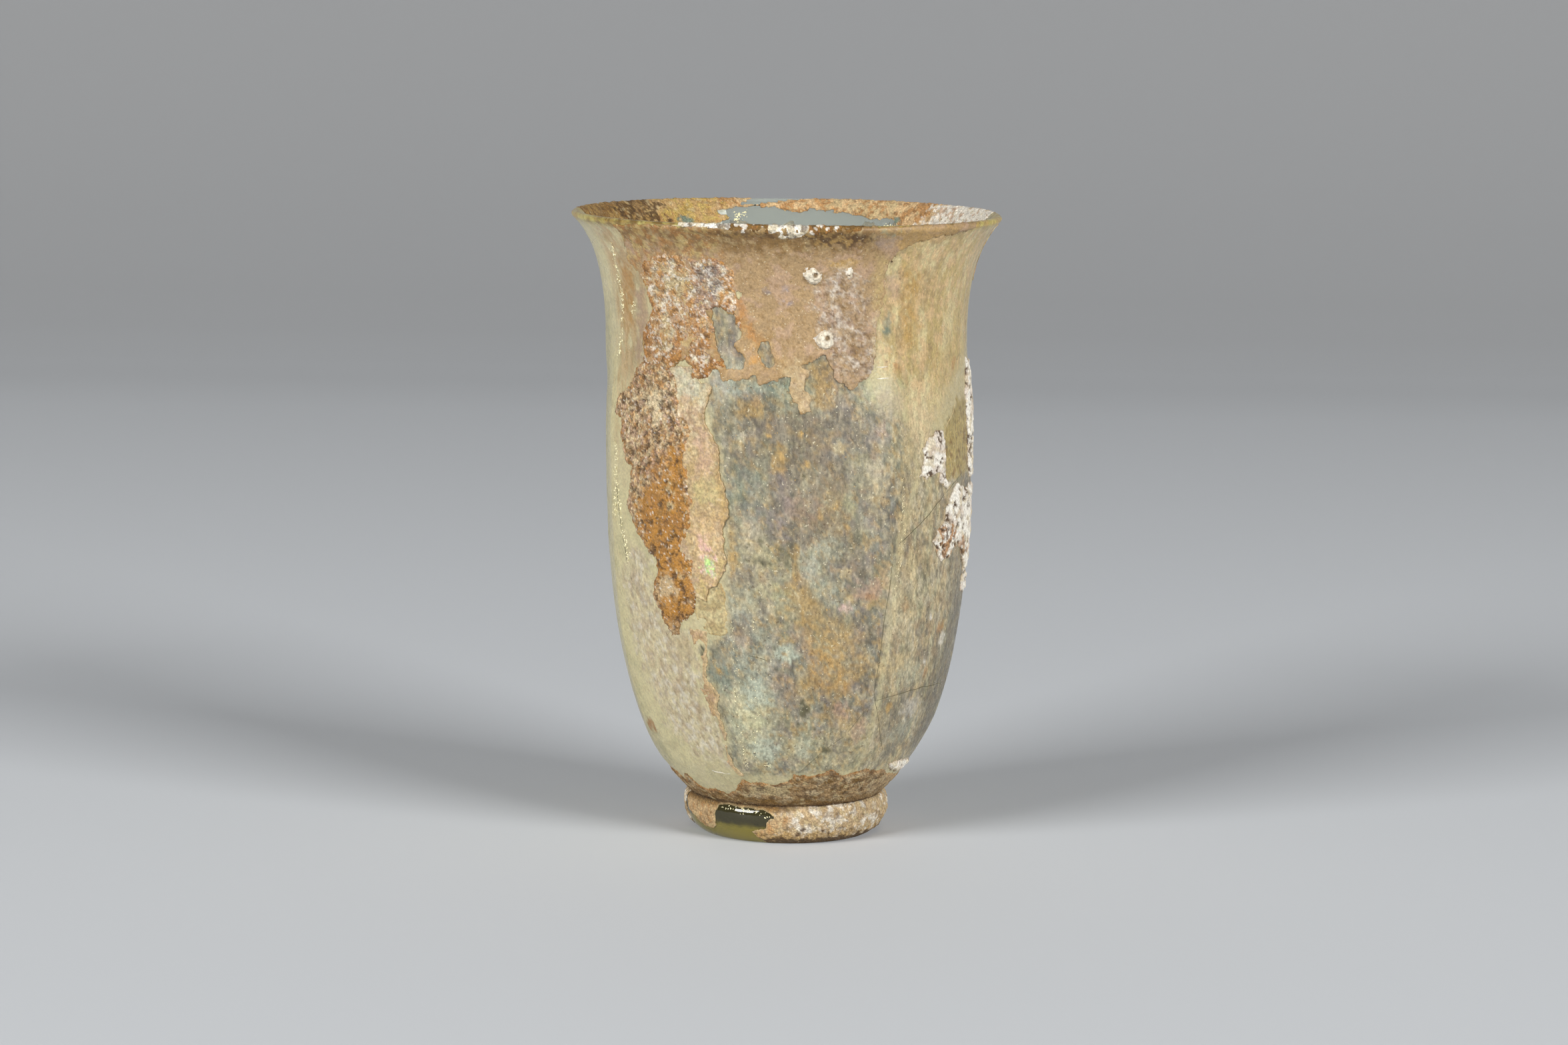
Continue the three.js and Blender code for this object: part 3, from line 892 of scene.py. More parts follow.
# Stains on the glass: bearing, height, half width, half height, colour and strength
STAINS = [
    (-2, 74, 1.5, 2.7, "ochre", 0.8), (-11, 83.3, 2.4, 1.9, "ochre", 0.7), (4.2, 78.6, 0.8, 0.7, "ochre", 1),
    (-5.2, 80.1, 0.9, 0.6, "ochre", 0.9), (-5.5, 78.5, 0.6, 0.5, "ochre", 0.9),
    (3.2, 57, 0.7, 2, "ochre", 0.7), (3, 53, 0.8, 2, "ochre", 0.6), (6.8, 73.2, 0.6, 0.6, "ochre", 0.9),
    (10.8, 64.1, 0.5, 1.6, "ochre", 0.7), (15.8, 65.9, 0.6, 1.2, "ochre", 0.7),
    (19.2, 61.6, 0.6, 1, "ochre", 0.7), (-16.5, 57, 0.8, 7, "ochre", 0.45), (40, 27, 0.9, 1, "ochre", 0.9),
    (57, 91, 2, 3, "ochre", 0.3), (-9, 84.5, 1, 1.2, "tan", 0.8), (27, 50, 3.6, 2, "blush", 0.5),
    (20.5, 27.4, 2, 2, "pink", 0.3), (29, 23, 2, 3, "blush", 0.5), (19.5, 46.9, 1.2, 1, "pink", 0.5),
    (29.8, 79.3, 1.5, 1.5, "blush", 0.6), (5, 65, 4, 3, "blush", 0.25), (16.5, 76.2, 1.5, 1.4, "cream", 0.7),
    (19, 53, 1.5, 1.4, "cream", 0.75), (39, 61.5, 1.4, 3, "cream", 0.6), (39.8, 75, 1.6, 3, "cream", 0.5),
    (42.8, 53.7, 2, 2.4, "cream", 0.5), (20, 66, 1.4, 2, "moss", 0.5), (44, 46, 3, 3, "cream", 0.3),
    (24, 72, 3, 4, "moss", 0.35), (29, 70, 2.4, 5, "beige", 0.3), (33.5, 35.3, 1.6, 1, "cream", 0.8),
    (-38, 37.5, 4, 3.2, "cream", 0.4), (-33.5, 38.8, 1.4, 1, "cream", 0.7), (55, 26, 4, 2.6, "lime", 0.3),
    (68, 38, 1.4, 1.4, "lime", 0.6), (57, 43.3, 0.5, 0.5, "lime", 1), (57, 34.7, 0.4, 0.7, "lime", 0.8),
    (23, 17.5, 1.5, 1.3, "cream", 0.5), (52, 62, 2, 5, "cream", 0.35), (-10, 30.8, 3, 3.2, "cool", 0.9),
    (-8.2, 19.8, 3.6, 3.4, "cool", 0.8), (-10, 25, 3, 2, "mint", 0.25), (0, 38.3, 2.7, 1.8, "cool", 1),
    (8, 20, 3, 2.4, "cool", 0.5), (48, 33, 5, 2.4, "cool", 0.35), (54, 22, 6, 3, "cool", 0.3),
    (-14, 47, 3, 4, "cool", 0.35), (-12, 68, 4, 6, "teal", 0.3), (12, 57, 4, 3, "cool", 0.35),
    (-22.5, 33, 3, 3, "teal", 0.45), (-17, 24, 2, 3, "teal", 0.3), (-4, 50, 3, 2, "moss", 0.4),
    (-14, 41, 2.4, 2.2, "blush", 0.35), (-2, 33, 3, 2, "blush", 0.3), (-0.2, 38.3, 0.5, 0.45, "ochre", 1),
    (-22.8, 34.5, 0.9, 0.8, "ochre", 0.85), (66, 41.5, 1.4, 0.8, "ochre", 0.6),
    (-7.8, 59, 0.5, 0.6, "slate", 0.9), (-12.4, 55.6, 0.8, 0.6, "slate", 1),
    (-7, 55.3, 0.6, 0.7, "slate", 1), (-5.3, 55, 0.4, 0.5, "slate", 1), (-11, 58.6, 0.3, 0.3, "slate", 0.9),
    (1.8, 58, 0.9, 2, "slate", 0.4), (-28.3, 37.4, 0.9, 1.4, "slate", 1), (-24, 26.5, 1.4, 2, "slate", 0.6),
    (-22.6, 17.5, 0.8, 1.8, "slate", 0.7), (-17, 78.5, 0.7, 1.1, "slate", 0.9),
    (28, 81, 2.4, 2.6, "slate", 0.35), (-24, 72.5, 0.5, 1.3, "slate", 0.8), (43, 47, 2, 2.4, "slate", 0.4),
    (64, 40.5, 1.4, 1, "rust", 0.5), (59.8, 32.7, 1.2, 1, "rust", 0.5), (42.5, 46.4, 1.2, 1.4, "rust", 0.4),
    (27.8, 48.5, 1, 0.6, "rust", 0.6), (66, 90.3, 1.2, 1.4, "rust", 0.7),
    (-64.8, 21.3, 1.6, 1.5, "rust", 0.9), (-85, 23.2, 6, 1.2, "rust", 0.7), (-60, 101, 3, 5, "ochre", 0.35),
    (5.6, 71, 0.3, 0.3, "slate", 1), (32.5, 98.5, 1, 2, "teal", 0.5), (-36, 34.9, 0.4, 0.4, "umber", 0.8),
    (-1, 69, 1.8, 3.4, "lilac", 0.3), (23, 60, 2, 3, "slate", 0.3), (-13, 52, 1.5, 4, "taupe", 0.3),
]

# Irregular dark olive marks where the film has gone, as bearings and heights in turn
OLIVE_MARKS = [
    [6.2, 28.9, 7.6, 29.3, 8.8, 27.9, 8.2, 25.9, 6.4, 24.4, 4.6, 24.6, 6.6, 26.4, 5.8, 27.8],
    [10.9, 24, 12.4, 23.7, 13.3, 23, 11.8, 22.7],
    [15, 19.9, 17.6, 19.7, 17.9, 19.1, 15.6, 19.1],
    [8.4, 17.3, 10, 17.2, 9.9, 16.7, 8.6, 16.7],
    [11.5, 18.8, 14.3, 18.7, 13.8, 18.2, 11.9, 18.2],
]


def facet_tone(skin):
    """The grey green mottling in the middle of the front."""
    return skin.paint(
        "grey",
        (0.4 * skin.streaks(7, 141, 0.38, 0.7, 2.5), "moss"),
        (0.4 * skin.streaks(3, 21, 0.45, 0.75), "taupe"),
        (0.25 * skin.patches(5, 51, 0.45, 0.72), "cool"),
        (0.3 * skin.streaks(1.4, 61, 0.52, 0.72, 2.5), "beige"),
        (0.35 * skin.streaks(0.9, 151, 0.57, 0.72, 2), "slate"),
        (0.3 * skin.streaks(0.8, 161, 0.57, 0.7, 2.5), "cream"),
        (0.45 * skin.patches(1.6, 171, 0.6, 0.7), "ochre"),
        (0.3 * skin.patches(4, 181, 0.52, 0.75), "lilac"),
    )


def side_tone(skin):
    """The tan, cream and grey streaks right of the ridge."""
    return skin.paint(
        "beige",
        (0.45, "grey"),
        (0.5 * skin.streaks(3, 71, 0.45, 0.7), "moss"),
        (0.6 * skin.streaks(2, 191, 0.52, 0.7), "taupe"),
        (0.7 * skin.streaks(1.5, 201, 0.54, 0.68, 3), "cream"),
        (0.5 * skin.patches(2.4, 211, 0.56, 0.72), "tan"),
        (0.5 * skin.patches(1.2, 221, 0.58, 0.7), "slate"),
        (0.35 * ease(skin.bearing, 62, 74), "grey"),
    )


def right_tone(skin):
    """The straw and tan streaks under the mouth on the right."""
    return skin.paint(
        "straw",
        (0.3, "tan"),
        (0.55 * skin.streaks(3, 47, 0.48, 0.68), "haze"),
        (0.55 * skin.streaks(2.2, 127, 0.52, 0.68), "tan"),
        (0.5 * skin.streaks(1, 128, 0.55, 0.68, 3), "cream"),
        (0.7 * skin.patches(1.8, 137, 0.5, 0.66), "clay"),
        (0.4 * ease(-skin.height, -90, -80), "beige"),
    )


def glass_tone(skin):
    """The mottled colours of the glass, the light each point lets through and its graininess."""
    patchy = skin.mottle(3.2, 11)
    behind = ease(np.abs(skin.bearing), 84, 100)
    grainy = ease(skin.depth(GRAINY_FILM) + 5 * skin.waver, -1.5, 2)
    upper_left = ease(-np.abs(skin.bearing + 57), -13, -6) * ease(skin.height, 62, 96)
    tone = skin.paint(
        "haze",
        (0.3 * skin.patches(8, 3, 0.45, 0.75), "beige"),
        (0.3 * ease(patchy, 0.55, 0.8), "moss"),
        (0.3 * skin.patches(1.4, 231, 0.55, 0.75), "cream"),
        (0.6 * behind * skin.patches(9, 241, 0.45, 0.65), "grey"),
        (0.6 * behind * skin.patches(5, 41, 0.6, 0.75), "ochre"),
        (0.5 * behind * skin.streaks(2.6, 251, 0.58, 0.75), "cream"),
        (0.6 * ease(skin.bearing, 40, 55) * ease(skin.height, 76, 84), "beige"),
        (0.3 * upper_left, "beige"),
        (0.8 * upper_left * skin.streaks(1.6, 291, 0.46, 0.6, 5), "clay"),
        (0.5 * upper_left * skin.streaks(1.2, 292, 0.55, 0.66, 5), "cream"),
        (0.5 * upper_left * skin.streaks(1, 293, 0.6, 0.7, 4), "ochre"),
        (0.7 * grainy, "beige"),
        (0.35 * grainy * skin.patches(2.2, 261, 0.5, 0.7), "blush"),
        (0.5 * grainy * skin.patches(1.3, 262, 0.56, 0.68), "lime"),
        (0.5 * grainy * skin.patches(1.2, 263, 0.6, 0.7), "tan"),
    )
    facet = np.maximum(skin.area(GREY_FACET, 1.4), skin.area(GREY_GAP, 0.5))
    side = skin.area(STREAKED_SIDE, 1.5)
    tone = tone + (facet_tone(skin) - tone) * facet[:, None]
    tone = tone + (side_tone(skin) - tone) * (side * (1 - facet))[:, None]
    right = skin.area(RIGHT_FILM, 2.2)
    tone = tone + (right_tone(skin) - tone) * right[:, None]
    panel = skin.area(SPECKLED_PANEL, 0.5)
    tone = skin.paint(
        tone,
        (0.8 * panel, "tan"),
        (0.3 * panel, "olive"),
        (0.8 * panel * skin.patches(1.3, 271, 0.6, 0.7), "soil"),
    )
    clarity = 0.34 - 0.2 * np.maximum(np.maximum(facet, side), right)
    tone = skin.paint_areas(tone, GLASS_AREAS, 0.6)
    whole = 1 - 0.4 * skin.broken()
    for *oval_sizes, name, strength in STAINS:
        tone = skin.paint(tone, (strength * whole * skin.blot(*oval_sizes), name))
    for corners in OLIVE_MARKS:
        tone = skin.paint(tone, (0.95 * skin.area(pairs(corners), 0.3), "slate"))
    grain = np.maximum(np.maximum(facet, side), 0.5 * np.maximum(grainy, right) + 0.6 * behind)
    return tone, clarity, np.clip(0.1 + grain, 0, 1)


def inside_tone(skin):
    """The inside: hazy glass with soil stains that gather towards the floor."""
    low = ease(-skin.height, -30, -8)
    return skin.paint(
        "haze",
        (0.6 * skin.patches(8, 101, 0.35, 0.65), "grey"),
        (0.7 * skin.patches(6, 111, 0.5, 0.7), "tan"),
        (low * skin.patches(4, 121, 0.35, 0.6), "soil"),
    )


# Steps between the points of the glass's mesh, and the half width of its finer front
INSIDE_STEP, LIP_STEP, OUTSIDE_STEP, FOOT_STEP, BASE_STEP = 2.4, 0.24, 0.6, 0.5, 1.1
FRONT_STEP, BACK_STEP, FRONT_BEARING = radians(0.8), radians(1.9), radians(96)

# Places where the glass is clear: the window in the back of the mouth, as bearings and heights
RIM_WINDOW = pairs([
    202, 110, 201, 113, 197, 116.5, 177, 116.5, 163, 116, 152, 115.6, 143, 113.8, 141, 109,
])
CLEAR_EDGE = 0.4


def glass_rows(form):
    """The travels of the rows of points, from the middle of the floor inside to the base."""
    return np.concatenate([
        np.arange(0.6, form.lip_start, INSIDE_STEP),
        np.arange(form.lip_start, form.lip_end, LIP_STEP),
        np.arange(form.lip_end, form.neck - 0.1, OUTSIDE_STEP),
        np.arange(form.neck, form.contact - 0.1, FOOT_STEP),
        np.arange(form.contact, form.base - 0.6, BASE_STEP),
    ])


def build_glass(form):
    """The glass itself, closed, with its floor, walls, lip, foot ring and pushed-in base."""
    travels = glass_rows(form)
    front = np.arange(-FRONT_BEARING, FRONT_BEARING, FRONT_STEP)
    bearings = np.concatenate([front, np.arange(FRONT_BEARING, 2 * pi - FRONT_BEARING, BACK_STEP)])
    travel, bearing = (part.ravel() for part in np.meshgrid(travels, bearings, indexing="ij"))
    turned = np.mod(bearing + pi, 2 * pi) - pi
    skin = Skin(form, turned, travel, form.belly, False)
    facing = form.facing(bearing, travel)
    relief = 0.12 * (skin.mottle(14, 81, 2) - 0.5) + 0.06 * (skin.mottle(2.5, 91) - 0.5)
    relief = relief + 0.1 * skin.area([*FILM_EDGE, (-95, 14), (-95, 60), (-50, 50), (-27, 44)], 0.3)
    still = ease(travel, form.lip_end, form.lip_end + 4) * ease(-travel, 2 - form.contact, 6 - form.contact)
    points = skin.points + facing * (relief * still)[:, None]
    middle = np.array([[form.lean * (1 - KICK_HEIGHT / form.height), 0, KICK_HEIGHT]])
    count = len(points)
    points = np.vstack([points, middle + (0, 0, FLOOR_THICKNESS), middle])
    squares = grid_squares(len(travels), len(bearings), True)
    around = np.arange(len(bearings))
    after = np.roll(around, -1)
    last = count - len(bearings)
    floor = np.column_stack([np.full(len(around), count), around, after]).tolist()
    base = np.column_stack([np.full(len(around), count + 1), last + after, last + around]).tolist()
    glass = new_mesh("glass_beaker", points, squares.tolist() + floor + base)
    tone, clarity, grain = glass_tone(skin)
    inner = travel < form.lip_start
    tone[inner] = inside_tone(skin)[inner]
    lip = ease(travel, form.lip_start - 1, form.lip_start) * ease(-travel, -form.lip_end - 1, -form.lip_end)
    tone = skin.paint(
        tone,
        (0.7 * lip, "olive"),
        (0.7 * lip * skin.patches(3, 301, 0.42, 0.56), "ochre"),
        (0.75 * lip * skin.patches(2, 311, 0.48, 0.58) * ease(-np.abs(skin.bearing), -80, -50), "soil"),
    )
    at = np.column_stack([np.mod(skin.bearing, 360), skin.height])
    ragged = 5 * (skin.mottle(5, 312) - 0.5) * ease(-skin.height, -112, -109)
    window = (depth_inside(at, np.array(RIM_WINDOW, float)) + ragged > -CLEAR_EDGE) & (travel < form.neck)
    foot = (travel > form.neck) & (travel < form.base)
    tone[window] = form.shades["clear"]
    # painted shade: the clear foot ring is darkened to slate above about 3 mm, where the thick glass looks
    # dark, and stays olive below
    level = skin.height[foot] + 0.5 * skin.waver[foot]
    tone[foot] = skin.paint(tone[foot], (1, "olive"), (0.96 * ease(level, 2.9, 3.8), "slate"))
    add_tone(glass, np.vstack([tone, tone[:1], tone[-1:]]))
    add_value(glass, "clarity", [*clarity, 0.4, 0.4])
    add_value(glass, "grain", [*grain, 0.5, 0.5])
    finishes = (glass_finish(), clear_finish("clear_glass", 0.78), clear_finish("foot_glass", 0.7))
    for finish in finishes:
        glass.data.materials.append(finish)
    slots = np.zeros(len(glass.data.polygons), np.int32)
    slots[: len(squares)] = window[squares].all(axis=1) + 2 * foot[squares].all(axis=1)
    glass.data.polygons.foreach_set("material_index", slots)
    return glass


# Brown crust on the left of the front, as bearings and heights around its edge

RUST_PATCH = pairs([
    -50, 90.5, -54, 88.5, -57, 86, -60, 84.5, -64.5, 83, -66, 80, -62, 79, -62, 76, -60, 73.5, -59, 71.4,
    -56, 70.8, -57.5, 67, -59.5, 63.4, -57, 61.5, -54, 58.5, -50.5, 56, -46, 54, -45, 52, -47.5, 50,
    -47.8, 46.5, -45, 45, -44.5, 42, -41, 40.5, -37.5, 40.7, -36, 43, -31, 45, -30, 47.5, -30, 55,
    -34.5, 56.3, -33.5, 58.5, -30.5, 60.5, -30, 65, -31, 69, -30.6, 71, -32.3, 73, -31, 77, -31, 80,
    -35, 81.5, -35, 85.5, -36, 88, -40, 90.5,
])
UPPER_RUST = pairs([
    -48, 105, -45.5, 101, -47, 98, -50, 95.5, -50, 89.5, -40, 89, -34, 91.5, -30.5, 90.5, -30, 88.4,
    -24.5, 88.2, -23, 90, -19, 90.6, -21, 92.3, -24, 93, -22.5, 97, -24, 100.5, -20, 101.5, -16, 100,
    -13.5, 97, -15, 101, -15, 108, -20, 110.5, -31, 110.5, -36, 111, -44, 109.5, -48, 108,
])
RUST_BREAKS = [pairs([-34, 94.6, -31.5, 95, -31.5, 92.4, -33.5, 91.6])]
AMBER = pairs([
    -42, 72, -37, 76, -31, 77, -29, 60, -29, 45, -38, 40, -46, 44, -50, 56, -55, 61, -52, 66, -46, 69,
])

# Coloured areas on the crust: colour, strength and softness, then bearings and heights in turn
RUST_AREAS = [
    ("beige", 0.6, 0.8, -48.5, 82.6, -46, 85.4, -40.5, 85.3, -42, 82.3, -44, 79.1),
    ("cream", 0.7, 0.4, -39.6, 68, -38, 68.4, -37.6, 67.2, -39, 66.9),
    ("cream", 0.7, 0.4, -48, 74, -46.2, 74.2, -46.4, 73, -47.8, 73),
    ("cream", 0.8, 0.4, -38.8, 65, -37.2, 65, -37.4, 63.8, -38.6, 63.8),
    ("cream", 0.8, 0.4, -36, 52.6, -33, 52.6, -33.2, 50.8, -35.6, 51),
    ("umber", 0.7, 0.5, -61.2, 83.4, -59.8, 83.2, -60, 82.2, -61, 82.3),
    ("umber", 0.6, 0.5, -52, 79.4, -50, 79.2, -50.4, 78, -51.8, 78.1),
    ("umber", 0.7, 0.5, -47.2, 56.6, -45.4, 56.4, -45.6, 55.2, -46.8, 55.4),
    ("umber", 0.6, 0.5, -39.4, 57.8, -37.6, 57.6, -37.8, 56.6, -39, 56.7),
    ("beige", 0.5, 0.6, -44, 51.4, -37.5, 51.5, -37.2, 47.8, -46.2, 47.2),
    ("tan", 0.6, 0.8, -41, 43, -35, 43.5, -36.2, 40.6, -41, 40.6),
]
PLATE_AREAS = [
    ("cream", 0.8, 0.5, -39, 106, -35.5, 107.4, -29.5, 107.3, -30.2, 103.9, -34.5, 103, -38.5, 103.9),
    ("cream", 0.6, 0.5, -41, 108, -37.5, 108.8, -37.5, 107.1, -41, 106.7),
    ("grey", 0.75, 0.4, -26.5, 107.7, -21, 108.4, -20.8, 107.1, -26, 106.2),
    ("grey", 0.75, 0.4, -23.8, 106.2, -20.5, 106.6, -21.2, 104.3, -23.5, 104),
    ("cream", 0.85, 0.4, -41.2, 98.4, -38.8, 98.5, -38.5, 93, -40.8, 92.9),
    ("lilac", 0.55, 0.8, -27.2, 109.1, -19.8, 110, -18.2, 106.6, -21.2, 101.8, -27.8, 99.5, -28.2, 105),
    ("rust", 0.9, 0.4, -30, 91.3, -23.5, 91.5, -24, 88.5, -30, 88.9),
    ("cream", 0.7, 0.4, -38.4, 89.8, -30.8, 90.8, -31, 89.4, -38, 88.6),
]


def rust_look(full, skin, depth):
    """Thickness, colour and gloss of the brown crust, stony above and amber below."""
    lumps = skin.mottle(2.6, 5)
    crumbs, _, number = skin.grains(0.85, 15)
    small, _, other = skin.grains(0.4, 25)
    pits = skin.patches(1.4, 35, 0.68, 0.78)
    amber = ease(skin.depth(AMBER) + 6 * skin.waver, -1.5, 2)
    thick = full * (0.3 + 0.8 * lumps) * ease(depth, -0.25, 0.9)
    crumbly = 0.18 * (1 - crumbs).clip(0) * ease(depth, 0, 0.6) + 0.06 * (1 - small).clip(0)
    thick = np.maximum((thick + crumbly * (1 - 0.7 * amber)) * (1 - 0.6 * pits), 0.05)
    tone = skin.paint(
        "clay",
        (0.7 * skin.patches(3.4, 45, 0.45, 0.62), "rust"),
        (0.6 * ease(number, 0.6, 0.7), "blush"),
        (0.5 * ease(-number, -0.25, -0.15), "beige"),
        (0.95 * amber, "amber"),
        (0.4 * amber * skin.patches(3, 47, 0.5, 0.66), "rust"),
        (0.45 * ease(crumbs, 0.5, 0.8) * (1 - 0.8 * amber), "soil"),
        (0.65 * ease(-depth + 0.4 * skin.waver, -0.8, -0.2), "rust"),
        (0.5 * skin.patches(1.1, 46, 0.6, 0.7) * (1 - amber), "beige"),
        (0.55 * skin.patches(1.2, 48, 0.6, 0.7), "soil"),
        (0.3 * skin.patches(0.9, 50, 0.66, 0.74), "umber"),
    )
    tone = skin.paint_areas(tone, RUST_AREAS)
    # white dots: lime specks on the crust, and in the amber, where there are more, painted glints on the
    # shiny crust
    white = ease(other + 0.07 * amber, 0.94, 0.95) * ease(-small, -0.55, -0.3)
    tone = skin.paint(tone, (0.85 * white, "lime"), (0.75 * pits, "umber"))
    return thick, tone, amber * (0.55 + 0.45 * ease(lumps, 0.35, 0.55))


def plates_look(full, skin, depth):
    """Thickness, colour and gloss of the crust above, a network of brown veins around pale plates."""
    _, gap, number = skin.grains(1.9, 75)
    small, _, other = skin.grains(0.8, 85)
    low = ease(-skin.height + 8 * skin.waver, -100, -96)
    vein = np.maximum(0.5 * ease(-gap, -0.16, -0.04), skin.patches(2.2, 65, 0.5, 0.58))
    thick = full * (0.35 + 0.4 * number + 0.35 * vein) * ease(depth, -0.2, 0.5) + 0.08 * (1 - small).clip(0)
    tone = skin.paint(
        "clay",
        (0.6 * skin.patches(2, 66, 0.5, 0.62), "lilac"),
        (0.8 * skin.patches(1.5, 76, 0.48, 0.6), "beige"),
        (0.35 * ease(other, 0.8, 0.85), "cream"),
        (0.6 * skin.patches(3, 67, 0.5, 0.6), "beige"),
        (0.5 * skin.patches(1.6, 69, 0.57, 0.67), "lime"),
        (0.75 * vein, "rust"),
        (0.7 * ease(-depth + 0.8 * skin.waver, -1.4, -0.3), "rust"),
        (0.5 * ease(-skin.bearing + 8 * skin.waver, 40, 46) * skin.patches(2, 68, 0.4, 0.54), "rust"),
        (0.4 * vein * skin.patches(1.6, 96, 0.5, 0.6), "amber"),
        (0.7 * low * skin.patches(2, 95, 0.42, 0.56), "rust"),
        (0.45 * low * skin.patches(1.2, 105, 0.58, 0.68), "umber"),
    )
    tone = skin.paint_areas(tone, PLATE_AREAS, 0.5)
    white = skin.patches(1.1, 106, 0.66, 0.74)
    tone = skin.paint(tone, (0.5 * skin.patches(1.2, 115, 0.64, 0.74), "umber"), (0.5 * white, "lime"))
    return np.maximum(thick, 0.05), tone, 0.2 * vein


# Films on the front, as bearings and heights around their edges

TAN_FILM = pairs([
    -52, 115.2, -51.2, 113, -53.2, 108.7, -47.2, 105.1, -45.2, 101.1, -46.2, 97.1, -50, 95.1, -50, 89.8,
    -38, 90, -31, 92, -24, 92, -20, 88.4, -14, 88, -10, 89.4, -8, 87.6, -3, 88.4, 1.5, 88.8, 1, 86, 3, 84,
    4.5, 82.2, 7.5, 83, 8, 85, 6, 87, 7, 90, 5, 91, 9, 92.3, 12, 93, 13.5, 91, 15.5, 89, 18, 87.8,
    20, 86.3, 23, 88, 26, 88.6, 27.5, 90, 28.5, 92.5, 29, 98, 30.5, 104, 30, 109, 34, 112.5, 44, 114.2,
    56, 115, 60, 116.4, 40, 116.6, 20, 116.4, 0, 116, -20, 116, -40, 115.9,
])
FILM_HOLES = [
    GREY_GAP,
    pairs([-8, 95.3, -5.2, 95.6, -4.5, 93.5, -3.5, 91.5, -5.2, 90.5, -7.5, 92, -9.2, 93.7]),
    pairs([-17, 104, -14, 104.3, -12, 103.8, -14, 102.9, -17, 103.2]),
]
LIMED_AREA = pairs([
    10.5, 104.4, 13, 108.5, 17, 109, 20.5, 105.4, 23.8, 101.6, 27.2, 97.7, 28.5, 91.7, 26, 88, 22.5, 86.9,
    18.5, 88.3, 16, 91.1, 14.5, 93.5, 10.8, 99.2,
])

# Coloured areas on the tan film: colour, strength and softness, then bearings and heights in turn
FILM_AREAS = [
    ("ochre", 0.35, 1.0, -18.8, 103.2, -15.5, 105.3, -14, 101.9, -9.5, 97.3, -2.8, 93.3, 2, 91.3, 2, 89.6,
     -9.5, 89.4, -15.2, 88.4, -21.5, 88.9, -14.3, 93.1, -12.5, 95.9, -16.5, 99.2),
    ("rust", 0.7, 0.8, -18, 104, -15, 104.5, -10, 98, -6, 95.5, -8, 93.5, -12, 96, -15, 101),
    ("tan", 0.7, 0.8, -14, 92, -2, 91.5, 1, 88, -9.5, 87, -15, 87.4, -21.5, 87.9, -18, 90),
    ("beige", 0.3, 0.5, -1, 91, 3, 92, 8, 91, 9, 84, 7, 82, 2, 84, 0, 87),
    ("soil", 0.25, 0.8, 13, 104.2, 23.8, 102.8, 28.2, 91.8, 24.5, 88.5, 18.2, 90, 15.8, 98.8),
    ("amber", 0.6, 0.4, -10, 92.8, -8.6, 92.8, -8.6, 91.4, -10, 91.4),
    ("ochre", 0.7, 0.6, -45.5, 113.7, -44, 115.4, -40.8, 115.8, -41.6, 113.7),
    ("lilac", 0.7, 0.3, -6.4, 104.8, -4.8, 104.9, -5, 104, -6.2, 104),
    ("lilac", 0.8, 0.3, -1.6, 105.6, 0.6, 105.4, 0.2, 104.4, -1.2, 104.5),
    ("lilac", 0.7, 0.3, -1.8, 103.4, -0.2, 103.4, -0.4, 102.6, -1.6, 102.6),
    ("lilac", 0.8, 0.3, 1.2, 103.3, 2.6, 103.2, 2.5, 102.2, 1.3, 102.3),
    ("ochre", 0.75, 0.5, 12, 110.1, 19.2, 111, 20.8, 109.5, 17, 108.9, 12.6, 109.3),
    ("soil", 0.8, 0.6, 9.8, 116, 19, 115.6, 18.5, 114, 12, 113.6, 6.5, 113, 7.5, 114.4),
    ("straw", 0.45, 0.8, 26.5, 111, 29.6, 110.5, 30.8, 100.4, 29.6, 92.2, 28, 92.6, 27.6, 100),
    ("ochre", 0.7, 0.8, 23.8, 116.4, 52.2, 116, 50.3, 114, 36, 111.9, 25.5, 113.2),
    ("lilac", 0.5, 0.6, 24, 115, 32, 114.6, 30, 112.4, 24, 112.8),
    ("teal", 0.5, 0.4, 26, 115.6, 30, 115.4, 29, 114.6, 26.4, 114.8),
]


